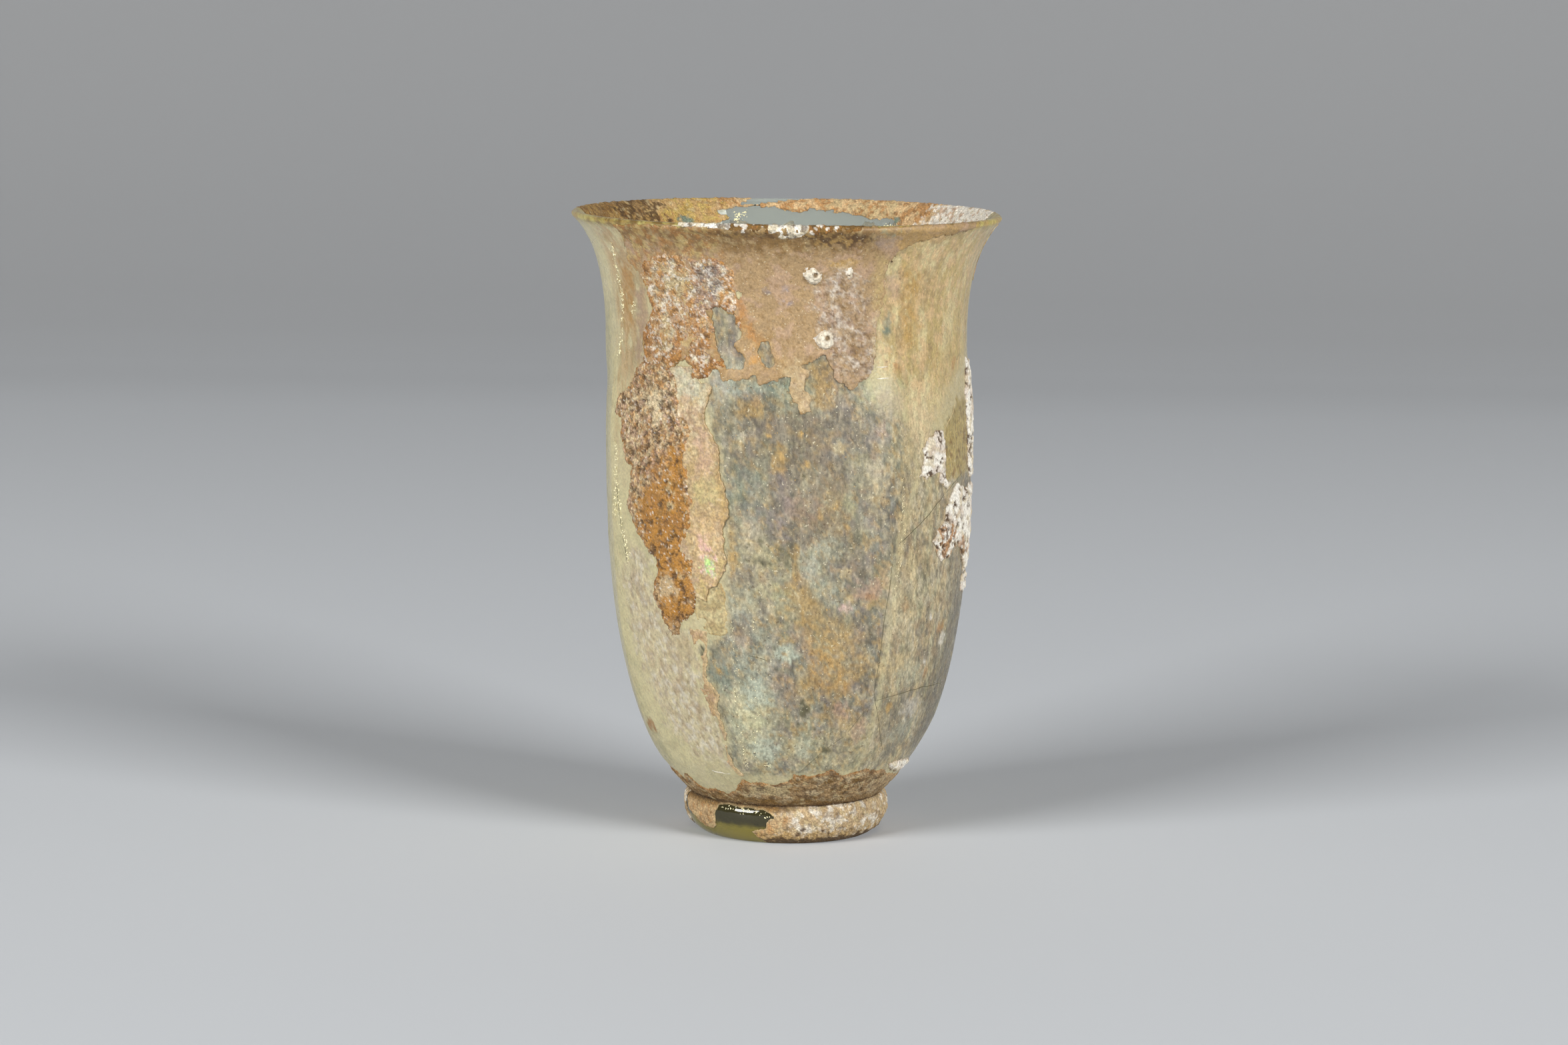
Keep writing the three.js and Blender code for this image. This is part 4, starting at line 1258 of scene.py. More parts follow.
def tan_look(full, skin, depth):
    """Thickness, colour and gloss of the tan film under the rim."""
    bearing, height, waver = skin.bearing, skin.height, skin.waver
    patchy = skin.mottle(4, 17)
    crumbs, _, _ = skin.grains(0.8, 27)
    limed = ease(skin.depth(LIMED_AREA) + 8 * waver, -2, 2)
    left = ease(-bearing + 8 * waver, 14, 24)
    under_lip = ease(height + 4 * waver, 110.5, 113.5) * (1 - ease(bearing, 20, 30))
    back = ease(np.abs(bearing), 76, 90)
    crumbly = np.maximum(np.maximum(left, limed), under_lip)
    thick = full * (0.6 + 0.8 * patchy) + 0.14 * crumbly * (1 - crumbs).clip(0)
    thick = thick * ease(depth, -0.5, 0.35) + 0.02
    edge = ease(-depth + waver, -1.6, -0.2) * ease(-bearing, -18, -6) * ease(-height, -104, -99)
    tone = skin.paint(
        "tan",
        (0.4 * ease(patchy, 0.45, 0.7), "blush"),
        (0.8 * under_lip, "soil"),
        (0.4 * under_lip * skin.streaks(1.8, 107, 0.52, 0.68), "cream"),
        (0.5 * left * skin.patches(1.8, 57, 0.5, 0.62), "rust"),
        (0.5 * left * skin.patches(1.6, 117, 0.56, 0.68), "straw"),
        (0.6 * back * skin.patches(3.4, 118, 0.42, 0.6), "straw"),
        (0.6 * back * skin.streaks(2, 119, 0.5, 0.64), "haze"),
        (0.4 * back * skin.patches(2.4, 120, 0.56, 0.68), "rust"),
        (0.25 * edge, "ochre"),
        (0.55 * edge * skin.patches(1.5, 58, 0.46, 0.6), "soil"),
        (0.35 * limed, "lilac"),
        (0.4 * limed * skin.patches(3, 77, 0.48, 0.66), "lime"),
        (0.75 * limed * skin.patches(1.8, 78, 0.46, 0.6), "tan"),
        (0.6 * limed * skin.patches(2, 79, 0.5, 0.6) * ease(-height, -102, -94), "soil"),
        (0.3 * limed * ease(crumbs, 0.5, 0.8), "soil"),
        (0.6 * limed * skin.patches(1.1, 87, 0.6, 0.7), "umber"),
        (0.2 * limed * skin.patches(1.2, 88, 0.64, 0.72), "lime"),
    )
    tone = skin.paint_areas(tone, FILM_AREAS, 0.5)
    specks = skin.patches(0.8, 97, 0.7, 0.78)
    tone = skin.paint(tone, (0.4 * specks, "soil"))
    brown = skin.blot(14, 114.2, 6, 1.9) + 0.7 * skin.blot(-10, 115, 8, 1)
    golden = skin.patches(1.4, 147, 0.48, 0.58)
    tone = skin.paint(tone, (0.8 * brown, "umber"), (0.6 * brown * golden, "ochre"))
    return thick, tone, 0.3


CREAM_STRIP = pairs([
    -39, 90, -31, 90.3, -27, 87.6, -23, 87, -24.5, 84, -26, 82, -25, 79.5, -22.5, 78, -20.3, 75, -20.5, 72,
    -19, 69, -17.5, 66, -17.3, 64, -19.5, 61, -19, 57.5, -18.2, 55, -19.5, 52.6, -22, 50.6, -25, 49.9,
    -25.6, 47.4, -29, 48.2, -31, 48, -32, 52, -35, 56.5, -34, 59, -32, 62, -33, 70, -33, 78, -36, 82,
    -36.5, 88,
])
YELLOW_FILM = pairs([
    -31, 49, -25, 50.5, -20, 51, -18.5, 46, -19, 41.5, -25, 41, -29, 43, -31, 46,
])

# Coloured areas on the flaking strip: colour, strength and softness, then bearings and heights in turn
STRIP_AREAS = [
    ("straw", 0.8, 0.6, -29.8, 69.4, -24.2, 71.3, -17.2, 68.2, -18.5, 64.8, -22.2, 66, -28.5, 65.7),
    ("mint", 0.4, 0.6, -29, 69, -23, 71, -18.5, 68, -22, 66, -28.5, 66),
    ("ochre", 0.6, 0.4, -20.4, 72.3, -18, 70.3, -16.6, 66.7, -16.2, 62.7, -19.6, 61.9, -20, 65.9,
     -21.6, 70.5),
    ("mint", 0.9, 0.3, -22.9, 72.8, -21.6, 72.8, -21.6, 71.5, -22.7, 71.5),
    ("cool", 0.5, 0.8, -38, 90.5, -23, 88, -26, 84, -36, 85),
    ("pink", 0.35, 0.9, -29, 79, -24, 78, -22, 73, -24, 70, -28, 72),
    ("clay", 0.5, 0.8, -31, 64.3, -19.8, 64, -18.8, 60, -20, 52, -24, 50, -29, 51, -31, 58),
    ("pink", 0.7, 0.5, -27.8, 59.5, -25, 59.7, -24, 54.9, -26.5, 54.1),
    ("green", 0.95, 0.4, -25.2, 56.2, -22.8, 54.9, -21.5, 52.9, -24.2, 52.1, -26.5, 54.1),
    ("straw", 0.6, 0.3, -21.2, 56.1, -19, 55.1, -19.2, 52.3, -22.2, 50.8, -21.5, 53.6),
    ("straw", 0.7, 0.6, -28, 52, -25, 51, -25, 47, -30, 47.6),
]


def cream_look(full, skin, depth):
    """Thickness, colour and gloss of the pearly flaking film."""
    _, gap, number = skin.grains(1.7, 19)
    curl = ease(-depth, -0.7, -0.1)
    thick = full * (0.7 + 0.8 * number) + 0.16 * curl
    tone = skin.paint(
        "cream",
        (0.65 * ease(-skin.height, -87, -80), "tan"),
        (0.55 * ease(-skin.height, -80, -74) * ease(skin.height, 50, 62), "straw"),
        (0.5 * skin.patches(2, 29, 0.45, 0.62), "blush"),
        (0.5 * skin.patches(1.3, 39, 0.54, 0.66), "beige"),
        (0.35 * ease(-gap, -0.12, -0.03), "tan"),
        (0.3 * ease(number, 0.7, 0.75), "tan"),
        (0.4 * skin.patches(0.8, 40, 0.62, 0.72), "tan"),
    )
    tone = skin.paint_areas(tone, STRIP_AREAS, 0.5)
    gleam = skin.blot(-24.6, 54.6, 1.7, 3.2)
    tone = skin.paint(
        tone,
        (0.8 * gleam * skin.patches(0.9, 49, 0.52, 0.62), "pink"),
        (0.5 * gleam * skin.patches(0.8, 59, 0.56, 0.64), "cool"),
        (0.5 * ease(-depth, -0.35, -0.05), "tan"),
        (0.3 * ease(skin.height, 60, 64) * ease(-skin.height, -80, -75), "tan"),
        (0.15 * ease(skin.height, 60, 64) * ease(-skin.height, -80, -75), "ochre"),
    )
    gloss = 0.35 + 0.65 * skin.blot(-25, 56, 4, 8)
    return thick, tone, gloss


def yellow_look(full, skin, depth):
    """Thickness, colour and gloss of the yellow film below the flaking strip."""
    thick = full * ease(depth, -0.5, 1.5)
    tone = skin.paint(
        "straw",
        (0.45, "taupe"),
        (0.4 * skin.patches(2.5, 49, 0.4, 0.65), "haze"),
        (0.4 * skin.patches(1.4, 69, 0.55, 0.7), "tan"),
        (0.4 * ease(-depth, -0.5, -0.1), "ochre"),
    )
    return thick, tone, 0.5


def edge_look(full, skin, depth):
    """Thickness, colour and gloss of the border where the pale film ends on the left."""
    right = ease(skin.depth([*FILM_EDGE, (-60, 10), (-60, 44)]), 0.35, 0.8)
    tone = skin.paint(
        "tan",
        (0.5 * skin.patches(1.8, 89, 0.45, 0.65), "clay"),
        (0.4 * skin.patches(1, 99, 0.55, 0.7), "blush"),
        (0.5 * (1 - right), "cream"),
    )
    return full * (0.7 + 0.5 * (1 - right)), tone, 0.4


# White lime, as bearings and heights around each patch

LIME_PATCHES = {
    "lime_diamond": [
        47.6, 72.5, 48, 75.5, 51, 76.7, 54.5, 78.2, 58, 78, 60, 76, 60.3, 70, 57.5, 70.2, 54, 70, 50, 69.7,
        45.8, 70, 46.5, 71.2,
    ],
    "lime_tail": [56.5, 70.3, 60.3, 70.4, 61.5, 69, 64, 67.8, 62, 66.5, 59.5, 67.8, 57, 68.6],
    "lime_wing": [
        54, 57.8, 56.5, 59.5, 60.5, 60.8, 62, 64, 66, 66.6, 70, 67.6, 76, 66.2, 82, 66.5, 88, 67, 92, 62,
        90, 54, 85, 50.5, 81.5, 50, 78, 53, 73, 55.8, 68.5, 55.4, 66, 54, 60, 53.7, 56.5, 55.5,
    ],
    "lime_edge": [79, 90.5, 84, 90, 92, 86, 94, 78, 90, 68, 82, 67.5, 79.5, 72, 78.5, 78, 77.6, 84],
    "lime_drop": [80, 49.5, 86, 50, 90, 48, 86, 45.8, 80.5, 46.5],
    "lime_dab": [17, 109, 18.8, 109.2, 19.6, 107.6, 18.8, 106.4, 17.3, 107],
    "lime_low": [53, 15.2, 58, 15.3, 64, 15.1, 72, 15, 79, 14, 72, 12.8, 63, 12.9, 57, 13.8],
    "lime_back_high": [118, 82, 127, 84, 134, 80, 133, 72, 124, 66, 117, 70, 114, 77],
    "lime_back_low": [196, 44, 206, 46, 212, 41, 207, 35, 198, 34, 193, 39],
}
# Round hollow knobs: bearing, height, radius, and radius of the white halo around
LIME_KNOBS = {"lime_knob_high": (7.8, 107.4, 1.4, 2.6), "lime_knob_low": (12, 95.8, 1.6, 2.7)}


def lime_look(full, skin, depth):
    """Thickness, colour and gloss of white lime with dark pits."""
    lumps = skin.mottle(2.2, 23)
    pits = ease(skin.mottle(1.6, 33, 3), 0.66, 0.73)
    stained = np.maximum(skin.blot(63, 57.6, 4.4, 3.6), 0.8 * skin.blot(76, 55, 5, 2))
    thick = full * (0.5 + 0.7 * lumps) * ease(depth, -0.3, 0.8)
    thick = np.maximum(thick * (1 - 0.8 * pits), 0.04)
    tone = skin.paint(
        "lime",
        (0.55 * ease(lumps, 0.5, 0.75), "cream"),
        (0.35 * skin.patches(3, 43, 0.55, 0.75), "blush"),
        (0.85 * stained * skin.patches(1.6, 53, 0.46, 0.58), "rust"),
        (0.95 * pits, "umber"),
        (0.7 * stained * skin.patches(1.1, 63, 0.58, 0.68), "umber"),
        (0.5 * ease(-depth, -0.3, -0.05), "tan"),
    )
    return thick, tone, 0


def knob_look(knob, skin, depth):
    """Thickness, colour and gloss of a crumbly knob with a pit in it and a white halo."""
    bearing, height, radius, _ = knob
    gap = np.linalg.norm(skin.flat - skin.lay_flat([(bearing, height)]), axis=1) + 0.7 * skin.waver
    pit_place = skin.lay_flat([(bearing + 0.5, height + 0.3)])
    pit = ease(-np.linalg.norm(skin.flat - pit_place, axis=1), -0.65, -0.25)
    crumbs, _, _ = skin.grains(0.6, 73)
    dome = np.sqrt(1 - (gap / radius).clip(0, 1) ** 2)
    thick = 0.08 + 0.1 * skin.mottle(0.8, 74) + dome * (0.75 + 0.3 * (1 - crumbs).clip(0)) - 0.6 * pit
    outer = ease(gap, radius * 0.9, radius * 1.15)
    tone = skin.paint(
        "lime",
        (0.35, "cream"),
        (0.3 * ease(crumbs, 0.5, 0.8), "tan"),
        (0.8 * pit, "soil"),
        # painted shadow: a tan ring where the dome meets the glass
        (0.4 * ease(-np.abs(gap - radius), -0.3, -0.1), "tan"),
        (0.9 * outer, "lime"),
        (0.65 * outer * skin.patches(1, 93, 0.46, 0.6), "lilac"),
        (0.5 * ease(-depth, -0.5, -0.1), "tan"),
    )
    return np.maximum(thick, 0.05) * ease(depth, -0.2, 0.4), tone, 0


OVAL_CORNERS = 14


def oval(bearing, height, half_width, half_height):
    """Bearings and heights around an oval, with half sizes in degrees and millimetres."""
    turns = np.arange(OVAL_CORNERS) * 2 * pi / OVAL_CORNERS
    return [(bearing + half_width * sin(turn), height + half_height * cos(turn)) for turn in turns]


# Soil and grit around the foot and neck

NECK_SOIL = pairs([
    -180, 7.3, -172, 11, -160, 12.5, -140, 10.5, -115, 12, -95, 11, -76, 12, -68, 12, -63, 10.4, -58, 12.2,
    -55, 12.4, -52, 10.2, -46, 9.6, -40, 10.1, -32, 9.4, -26, 10.3, -22, 12.3, -20, 13, -17, 12.4,
    -10, 12.7, -6, 12.1, -2, 12.6, 2, 13, 4, 14.6, 8, 14.4, 11, 14.2, 16, 14.6, 18, 15.2, 22, 15.5,
    24, 14.6, 27, 13.8, 31, 14.4, 38, 14.8, 42, 14.4, 52, 13.9, 58, 12.9, 64, 12.2, 74, 11.5, 95, 12,
    110, 10.4, 135, 12.8, 160, 11,
])
PALE_NECK = pairs([
    -19, 10, -17, 12.2, -6, 12, 2, 12.6, 3, 10.4, -4, 9.9, -12, 10.4,
])
FOOT_GRIT = pairs([
    -78, 7.2, -76, 5.6, -75, 4.4, -66, 3.6, -60, 2.6, -55, 2, -48, 1.9, -44.5, 2.6, -43.6, 4.4, -43.4, 5.4,
    -41.5, 6.6, -36, 7.0, -30, 6.9, -25, 6.7, -20, 6.8, -12, 6.5, -7.5, 6, -5.5, 5.3, -9.5, 4.9,
    -10.6, 4.4, -11, 3.3, -15, 2.9, -20, 2.5, -17, 1.4, -15, 0.9, -12, 0.12, 10, 0.08, 150, 0.08,
    276, 0.08, 279, 2, 276, 4, 280, 7.2, 150, 7.2,
])


def soil_look(full, skin, depth):
    """Thickness, colour and gloss of the soil around the neck."""
    lumps = skin.mottle(1.8, 6)
    crumbs, _, number = skin.grains(0.7, 16)
    thick = full * (0.2 + 0.5 * lumps) * ease(depth, -0.3, 0.7) + 0.12 * (1 - crumbs).clip(0)
    tone = skin.paint(
        "soil",
        (0.7 * ease(lumps, 0.4, 0.58), "tan"),
        (0.45 * skin.streaks(2.4, 36, 0.52, 0.64, 0.5), "clay"),
        (0.4 * skin.patches(2, 37, 0.58, 0.66), "beige"),
        (0.6 * ease(-depth + 0.8 * skin.waver, -0.8, -0.2), "rust"),
        (0.55 * ease(skin.bearing + 20 * skin.waver, 38, 60), "grit"),
        (0.75 * skin.area(PALE_NECK, 0.3), "cream"),
        (0.25 * ease(crumbs, 0.55, 0.85), "umber"),
        (0.6 * skin.patches(1.4, 26, 0.6, 0.7), "umber"),
        (0.5 * ease(-skin.height, -9.8, -8.6), "soil"),
        (0.75 * ease(-skin.height, -8.4, -7.6), "umber"),
        (0.7 * ease(number, 0.93, 0.95), "cream"),
    )
    return np.maximum(thick, 0.04), tone, 0.2


def grit_look(full, skin, depth):
    """Thickness, colour and gloss of the grit on the foot, thickest on the right."""
    lumps = skin.mottle(2.2, 8)
    crumbs, _, number = skin.grains(0.8, 18)
    small, _, _ = skin.grains(0.42, 28)
    heap = 1 + 1.1 * ease(-np.abs(skin.bearing - 80), -40, -5) * ease(skin.height, 2, 4)
    thick = full * heap * (0.2 + 0.5 * lumps) * ease(depth, -0.2, 0.6)
    thick = thick + 0.16 * (1 - crumbs).clip(0) + 0.07 * (1 - small).clip(0)
    thick = thick * (0.3 + 0.7 * ease(skin.height, 0.4, 1.6))
    right = ease(skin.bearing + 20 * skin.waver, -6, 6)
    spots = sum(
        skin.blot(bearing, height, half, half)
        for bearing, height, half in ((10.5, 3.3, 0.6), (7.5, 2.3, 0.4), (22, 2.8, 0.35), (26, 2.3, 0.3))
    )
    tone = skin.paint(
        "clay",
        (0.35, "tan"),
        (0.5 * skin.patches(2, 48, 0.5, 0.64), "rust"),
        (0.9 * right, "grit"),
        (0.7 * right * skin.patches(2.2, 38, 0.5, 0.66), "lime"),
        (0.5 * right * skin.patches(1.8, 58, 0.56, 0.68), "tan"),
        (0.5 * ease(number, 0.75, 0.8), "cream"),
        (0.8 * ease(skin.height, 6, 6.8) * ease(-skin.bearing, -8, 2), "soil"),
        (0.6 * ease(skin.height, 6.7, 7.1) * ease(-skin.bearing, -30, 2), "umber"),
        (0.7 * ease(-skin.height - 3 * skin.waver, -2.8, -1.8), "ochre"),
        (0.45 * ease(crumbs, 0.55, 0.85), "umber"),
        (0.85 * ease(-skin.height - 2 * skin.waver, -1.8, -1.1), "umber"),
        (0.5 * ease(-depth, -0.4, -0.05) * (1 - right), "cream"),
        (0.9 * spots, "umber"),
    )
    return np.maximum(thick, 0.03), tone, 0.1


# Crusts on the lip. Heights above the rim go on over it, 1 mm to the top and 1 mm down inside.

LIP_LIME = {
    "lip_lime": [-5, 117.2, -5.5, 116, -4.5, 114.8, -1, 114.2, 3, 114.3, 5, 115, 6, 116.4, 5, 117.3],
    "lip_lime_thin": [-29, 116.9, -29, 116, -22, 115.9, -14, 115.7, -13.6, 117.2, -22, 117],
}
LIP_SOIL = {
    "lip_soil": [-15, 117.4, -15, 115.6, -9, 114.9, -4, 115, -4, 117.4],
    "lip_lump": [5.5, 117.8, 5.6, 115.2, 8, 114.8, 10.5, 115.2, 10.6, 117.8],
    "lip_dark": [10, 117, 10, 115.5, 20, 115.6, 21, 117],
}
# Crusts inside the mouth and on the floor inside
INSIDE_LEFT = pairs([
    264, 116.8, 263, 115.5, 250, 111, 230, 106, 208, 104, 202, 109, 205, 111.4, 198, 113, 202, 114.2,
    194, 115.2, 190, 116.8, 216, 117, 240, 116.9,
])
INSIDE_TOP = pairs([
    197, 114.9, 190, 115.2, 182, 114.9, 179, 114.2, 176, 113.8, 173, 114.8, 168, 114.6, 164, 114.2,
    160, 114, 156, 113.6, 152, 113, 148, 113.8, 143, 112, 138, 108, 130, 104, 116, 108, 104, 112,
    98, 114.5, 99, 117, 140, 117.2, 170, 117,
])
FLOOR_SOIL = pairs([-180, 7.02, -170, 14, -120, 16, -60, 12, 0, 15, 50, 12.4, 120, 17, 165, 14])


def lip_look(full, white, skin, depth):
    """Thickness, colour and gloss of white lime or brown soil along the lip."""
    lumps = skin.mottle(1.6, 10)
    crumbs, _, number = skin.grains(0.6, 20)
    thick = full * (0.2 + 0.7 * lumps) * ease(depth, -0.3, 0.5) + 0.1 * (1 - crumbs).clip(0)
    tone = skin.paint(
        "lime" if white else "soil",
        (0.6 * ease(lumps, 0.45, 0.65), "cream" if white else "rust"),
        ((0.7 if white else 0.4) * skin.patches(1.4, 30, 0.6, 0.7), "umber"),
        (0.8 * ease(number, 0.8, 0.84) * (not white), "lime"),
    )
    return np.maximum(thick, 0.04), tone, 0.1


def inside_look(full, skin, depth):
    """Thickness, colour and gloss of the crust inside the mouth."""
    bearing = skin.bearing + 14 * skin.waver
    lumps = skin.mottle(2, 12)
    crumbs, _, number = skin.grains(0.7, 22)
    thick = full * (0.2 + 0.6 * lumps) * ease(depth, -0.2, 0.8) + 0.12 * (1 - crumbs).clip(0)
    dark_streaks = ease(-np.abs(bearing - 234.5), -3, -1.5) + ease(-np.abs(bearing - 224), -4, -2)
    white = ease(-bearing, -134, -129)
    tone = skin.paint(
        "clay",
        (0.7 * skin.patches(2.4, 32, 0.42, 0.6), "rust"),
        (0.75 * ease(bearing, 220, 226), "soil"),
        (0.7 * ease(bearing, 220, 226) * skin.patches(2, 43, 0.52, 0.62), "ochre"),
        (0.8 * ease(bearing, 220, 223) * dark_streaks, "umber"),
        (0.65 * ease(-np.abs(bearing - 210), -13, -8), "ochre"),
        (0.3 * ease(-np.abs(bearing - 210), -13, -8) * skin.patches(2, 42, 0.5, 0.62), "olive"),
        (0.9 * skin.blot(213, 112.5, 2, 1), "teal"),
        (0.7 * ease(-np.abs(bearing - 158), -15, -10) * ease(lumps, 0.4, 0.6), "cream"),
        (0.9 * skin.blot(144, 113, 1, 1), "teal"),
        (0.9 * white, "lime"),
        (0.6 * white * skin.patches(1.4, 52, 0.6, 0.7), "rust"),
        (0.5 * ease(crumbs, 0.6, 0.9) * (1 - 0.6 * white), "umber"),
        (0.6 * ease(number, 0.9, 0.93), "cream"),
    )
    return np.maximum(thick, 0.04), tone, 0.15


# Films and crusts on the back, as bearings and heights around their edges

TAN_BACK = pairs([
    88, 114, 88, 110, 92, 104, 96, 100, 100, 92, 112, 88, 125, 95, 140, 90, 150, 84, 160, 92, 175, 96,
    190, 88, 205, 93, 220, 99, 235, 94, 250, 101, 262, 106, 268, 112, 268, 115.4, 240, 115.8, 205, 115.6,
    199, 112, 190, 110.6, 160, 110.4, 142, 112, 139, 115.6, 90, 115.8,
])
RUST_BACK = pairs([
    150, 78, 157, 81, 166, 79, 172, 74, 174, 66, 170, 58, 163, 52, 157, 50, 153, 55, 155, 63, 150, 70,
])
STREAK_BACK = pairs([226, 80, 232, 84, 238, 80, 240, 66, 236, 50, 230, 42, 225, 50, 228, 64])


# Fine lines on the glass, as bearings and heights in turn along each

CRACKS = [
    [36.2, 57.7, 34.6, 54, 34.2, 50.4, 33, 44.5, 32.5, 36.5, 32, 30.4, 33.6, 27.8, 35.8, 25.3,
     40.2, 20.8, 46.8, 16.5],
    [32.2, 28.8, 43, 29.4, 59, 29.7, 80, 29],
    [32.2, 28.8, 27, 25, 23.5, 22.3, 15.8, 19.5, 6.8, 15.3],
    [77.2, 69.8, 60.8, 66.2, 51, 62.8, 36.2, 57.7],
    [-12, 38, -9, 37.5, -6, 37], [-62.8, 57.6, -61.5, 54.4, -61, 49.9, -60.8, 45.8],
    [-65.6, 67, -64.4, 62.7, -63.2, 57.6],
]
RIDGES = [[69, 83.3, 66.5, 81, 59.8, 78, 59.6, 74, 60.5, 68.7]]
ROOTLETS = [
    [0.8, 97.6, 4, 98, 7.5, 99.2], [2, 91.6, 5, 93.8, 8.5, 97.3], [2, 91.6, 6, 92.2, 10.8, 93.5],
]
# White threads at the ends of the dents where the softboxes' highlights fall: painted highlights
PAINTED_HIGHLIGHTS = [[29, 90.6, 32.8, 90.6], [29, 88.6, 33.2, 88.6], [-41.8, 14.8, -32, 14.2, -22.8, 14]]
# Flakes of weathered film, made near white so they also stand in as painted glints: bearings and heights
# along each trail, how many flakes, and their size
SPARKLES = [
    ([-65.8, 74.8, -65.2, 70.8, -66.2, 66.6, -66.8, 62.5, -67, 60.1], 70, 0.26),
    ([-65, 67.4, -63.8, 62.7, -62.8, 57.6, -60.5, 54.4, -60.5, 49.9, -60.3, 45.8], 110, 0.26),
    ([-59.8, 111.3, -62.2, 107, -61.3, 102.9, -61.5, 99.8, -63.8, 94.4, -66, 90.4], 110, 0.24),
    ([-54.2, 101.2, -56.5, 98.5], 20, 0.2),
    ([-17.2, 49.5, -16.8, 36.8, -16.5, 23.2, -16.2, 15.8], 60, 0.11),
    ([-10, 45, -10.8, 33, -10.5, 26.7, -11.8, 18], 40, 0.11),
    ([-8.8, 16.5, -6, 16.2], 12, 0.12),
    ([38, 70, 39, 60, 37, 50], 50, 0.12),
    ([-40, 6.4, -20, 6.2, -8, 5.6], 40, 0.16),
]
INSIDE_SPARKLES = [
    ([196, 112.2, 195, 113.4, 192, 114.1], 40, 0.18), ([216, 113, 206, 114, 200, 113], 60, 0.16),
    ([148, 112, 140, 112], 30, 0.16),
]


# Operators, one for each piece or group of like pieces


def settings():
    """The form with its colours by name, and the thicknesses of the layers, from the sidebar."""
    scene = bpy.context.scene
    colours = scene.beaker_colours
    shades = {name: np.array(getattr(colours, name)) for name in BeakerColours.__annotations__}
    return Form(scene.beaker_sizes, shades), scene.beaker_crusts


class BEAKER_OT_glass(Operator):
    """Blow the glass: a closed vessel with dents, a flaring mouth, a foot ring and bare windows"""

    bl_idname = "beaker.glass"
    bl_label = "Glass"

    def execute(self, context):
        form, _ = settings()
        glass = build_glass(form)
        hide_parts("beaker")
        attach(glass, "root")
        return {"FINISHED"}


class BEAKER_OT_rust(Operator):
    """Lay the brown soil crusts on the body"""

    bl_idname = "beaker.rust"
    bl_label = "Soil crust"

    def execute(self, context):
        form, crusts = settings()
        full = crusts.rust / MM
        stony = partial(rust_look, full)
        plates = partial(plates_look, full * 0.8)
        coat = {"Coat_Weight": 0.15, "Coat_Roughness": 0.15}
        rough = crust_finish("rust_crust", 0.45, 0.2, 0.8, 0.16, 0.4, **coat)
        veined = crust_finish("plate_crust", 0.4, 0.16, 0.85, 0.3, 0.28)
        lay_all(form, (
            ("rust_patch", RUST_PATCH, 0.24, (0.5, 1.8, 5), stony, rough, ()),
            ("upper_rust", UPPER_RUST, 0.24, (0.6, 1.6, 6), plates, veined, RUST_BREAKS),
            ("rust_back", RUST_BACK, 0.4, (1.2, 3.5, 7), plates, veined, ()),
            ("rust_streak", STREAK_BACK, 0.4, (1.2, 3, 8), stony, veined, ()),
        ))
        return {"FINISHED"}


class BEAKER_OT_films(Operator):
    """Lay the tan films under the rim and the pearly flaking strip"""

    bl_idname = "beaker.films"
    bl_label = "Films"

    def execute(self, context):
        form, crusts = settings()
        full = crusts.film / MM
        silky = film_finish()
        pearly = pearly_finish()
        tan = partial(tan_look, full)
        cream = partial(cream_look, full)
        edge = partial(edge_look, full * 0.7)
        yellow = partial(yellow_look, full * 0.4)
        lay_all(form, (
            ("tan_film", TAN_FILM, 0.28, (0.5, 2, 11), tan, silky, FILM_HOLES),
            ("tan_film_back", TAN_BACK, 0.5, (2.2, 8, 12), tan, silky, ()),
            ("flaking_strip", CREAM_STRIP, 0.25, (0.3, 2, 13), cream, pearly, ()),
            ("film_border", EDGE_BORDER, 0.22, (0.25, 1.6, 15), edge, pearly, ()),
            ("yellow_film", YELLOW_FILM, 0.35, (0.4, 2, 14), yellow, pearly, ()),
        ))
        return {"FINISHED"}


class BEAKER_OT_lime(Operator):
    """Lay the white lime patches and the hollow knobs"""

    bl_idname = "beaker.lime"
    bl_label = "Lime"

    def execute(self, context):
        form, crusts = settings()
        finish = crust_finish("lime_crust", 0.5, 0.12, 0.85, 0.5, 0.1)
        look = partial(lime_look, crusts.lime / MM)
        for seed, (name, corners) in enumerate(LIME_PATCHES.items(), 21):
            patch = lay_layer(form, name, pairs(corners), 0.22, (0.45, 1.6, seed), look)
            fasten(patch, finish)
        for name, knob in LIME_KNOBS.items():
            bearing, height, _, halo = knob
            corners = oval(bearing, height, halo / 0.6, halo)
            look = partial(knob_look, knob)
            piece = lay_layer(form, name, corners, 0.14, (0.35, 0.9, 31), look)
            fasten(piece, finish)
        return {"FINISHED"}


class BEAKER_OT_soil(Operator):
    """Lay the soil around the neck and the grit on the foot"""

    bl_idname = "beaker.soil"
    bl_label = "Neck soil and foot grit"

    def execute(self, context):
        form, crusts = settings()
        finish = crust_finish("foot_grit", 0.4, 0.2, 0.9, 0.4, 0.28)
        full = crusts.grit / MM
        soil = partial(soil_look, full * 0.7)
        neck = lay_layer(form, "neck_soil", NECK_SOIL, 0.28, (0.35, 1.2, 41), soil, ring=True)
        fasten(neck, finish)
        grit = partial(grit_look, full)
        lay_all(form, [("foot_grit", FOOT_GRIT, 0.24, (0.15, 0.9, 42), grit, finish, ())])
        return {"FINISHED"}


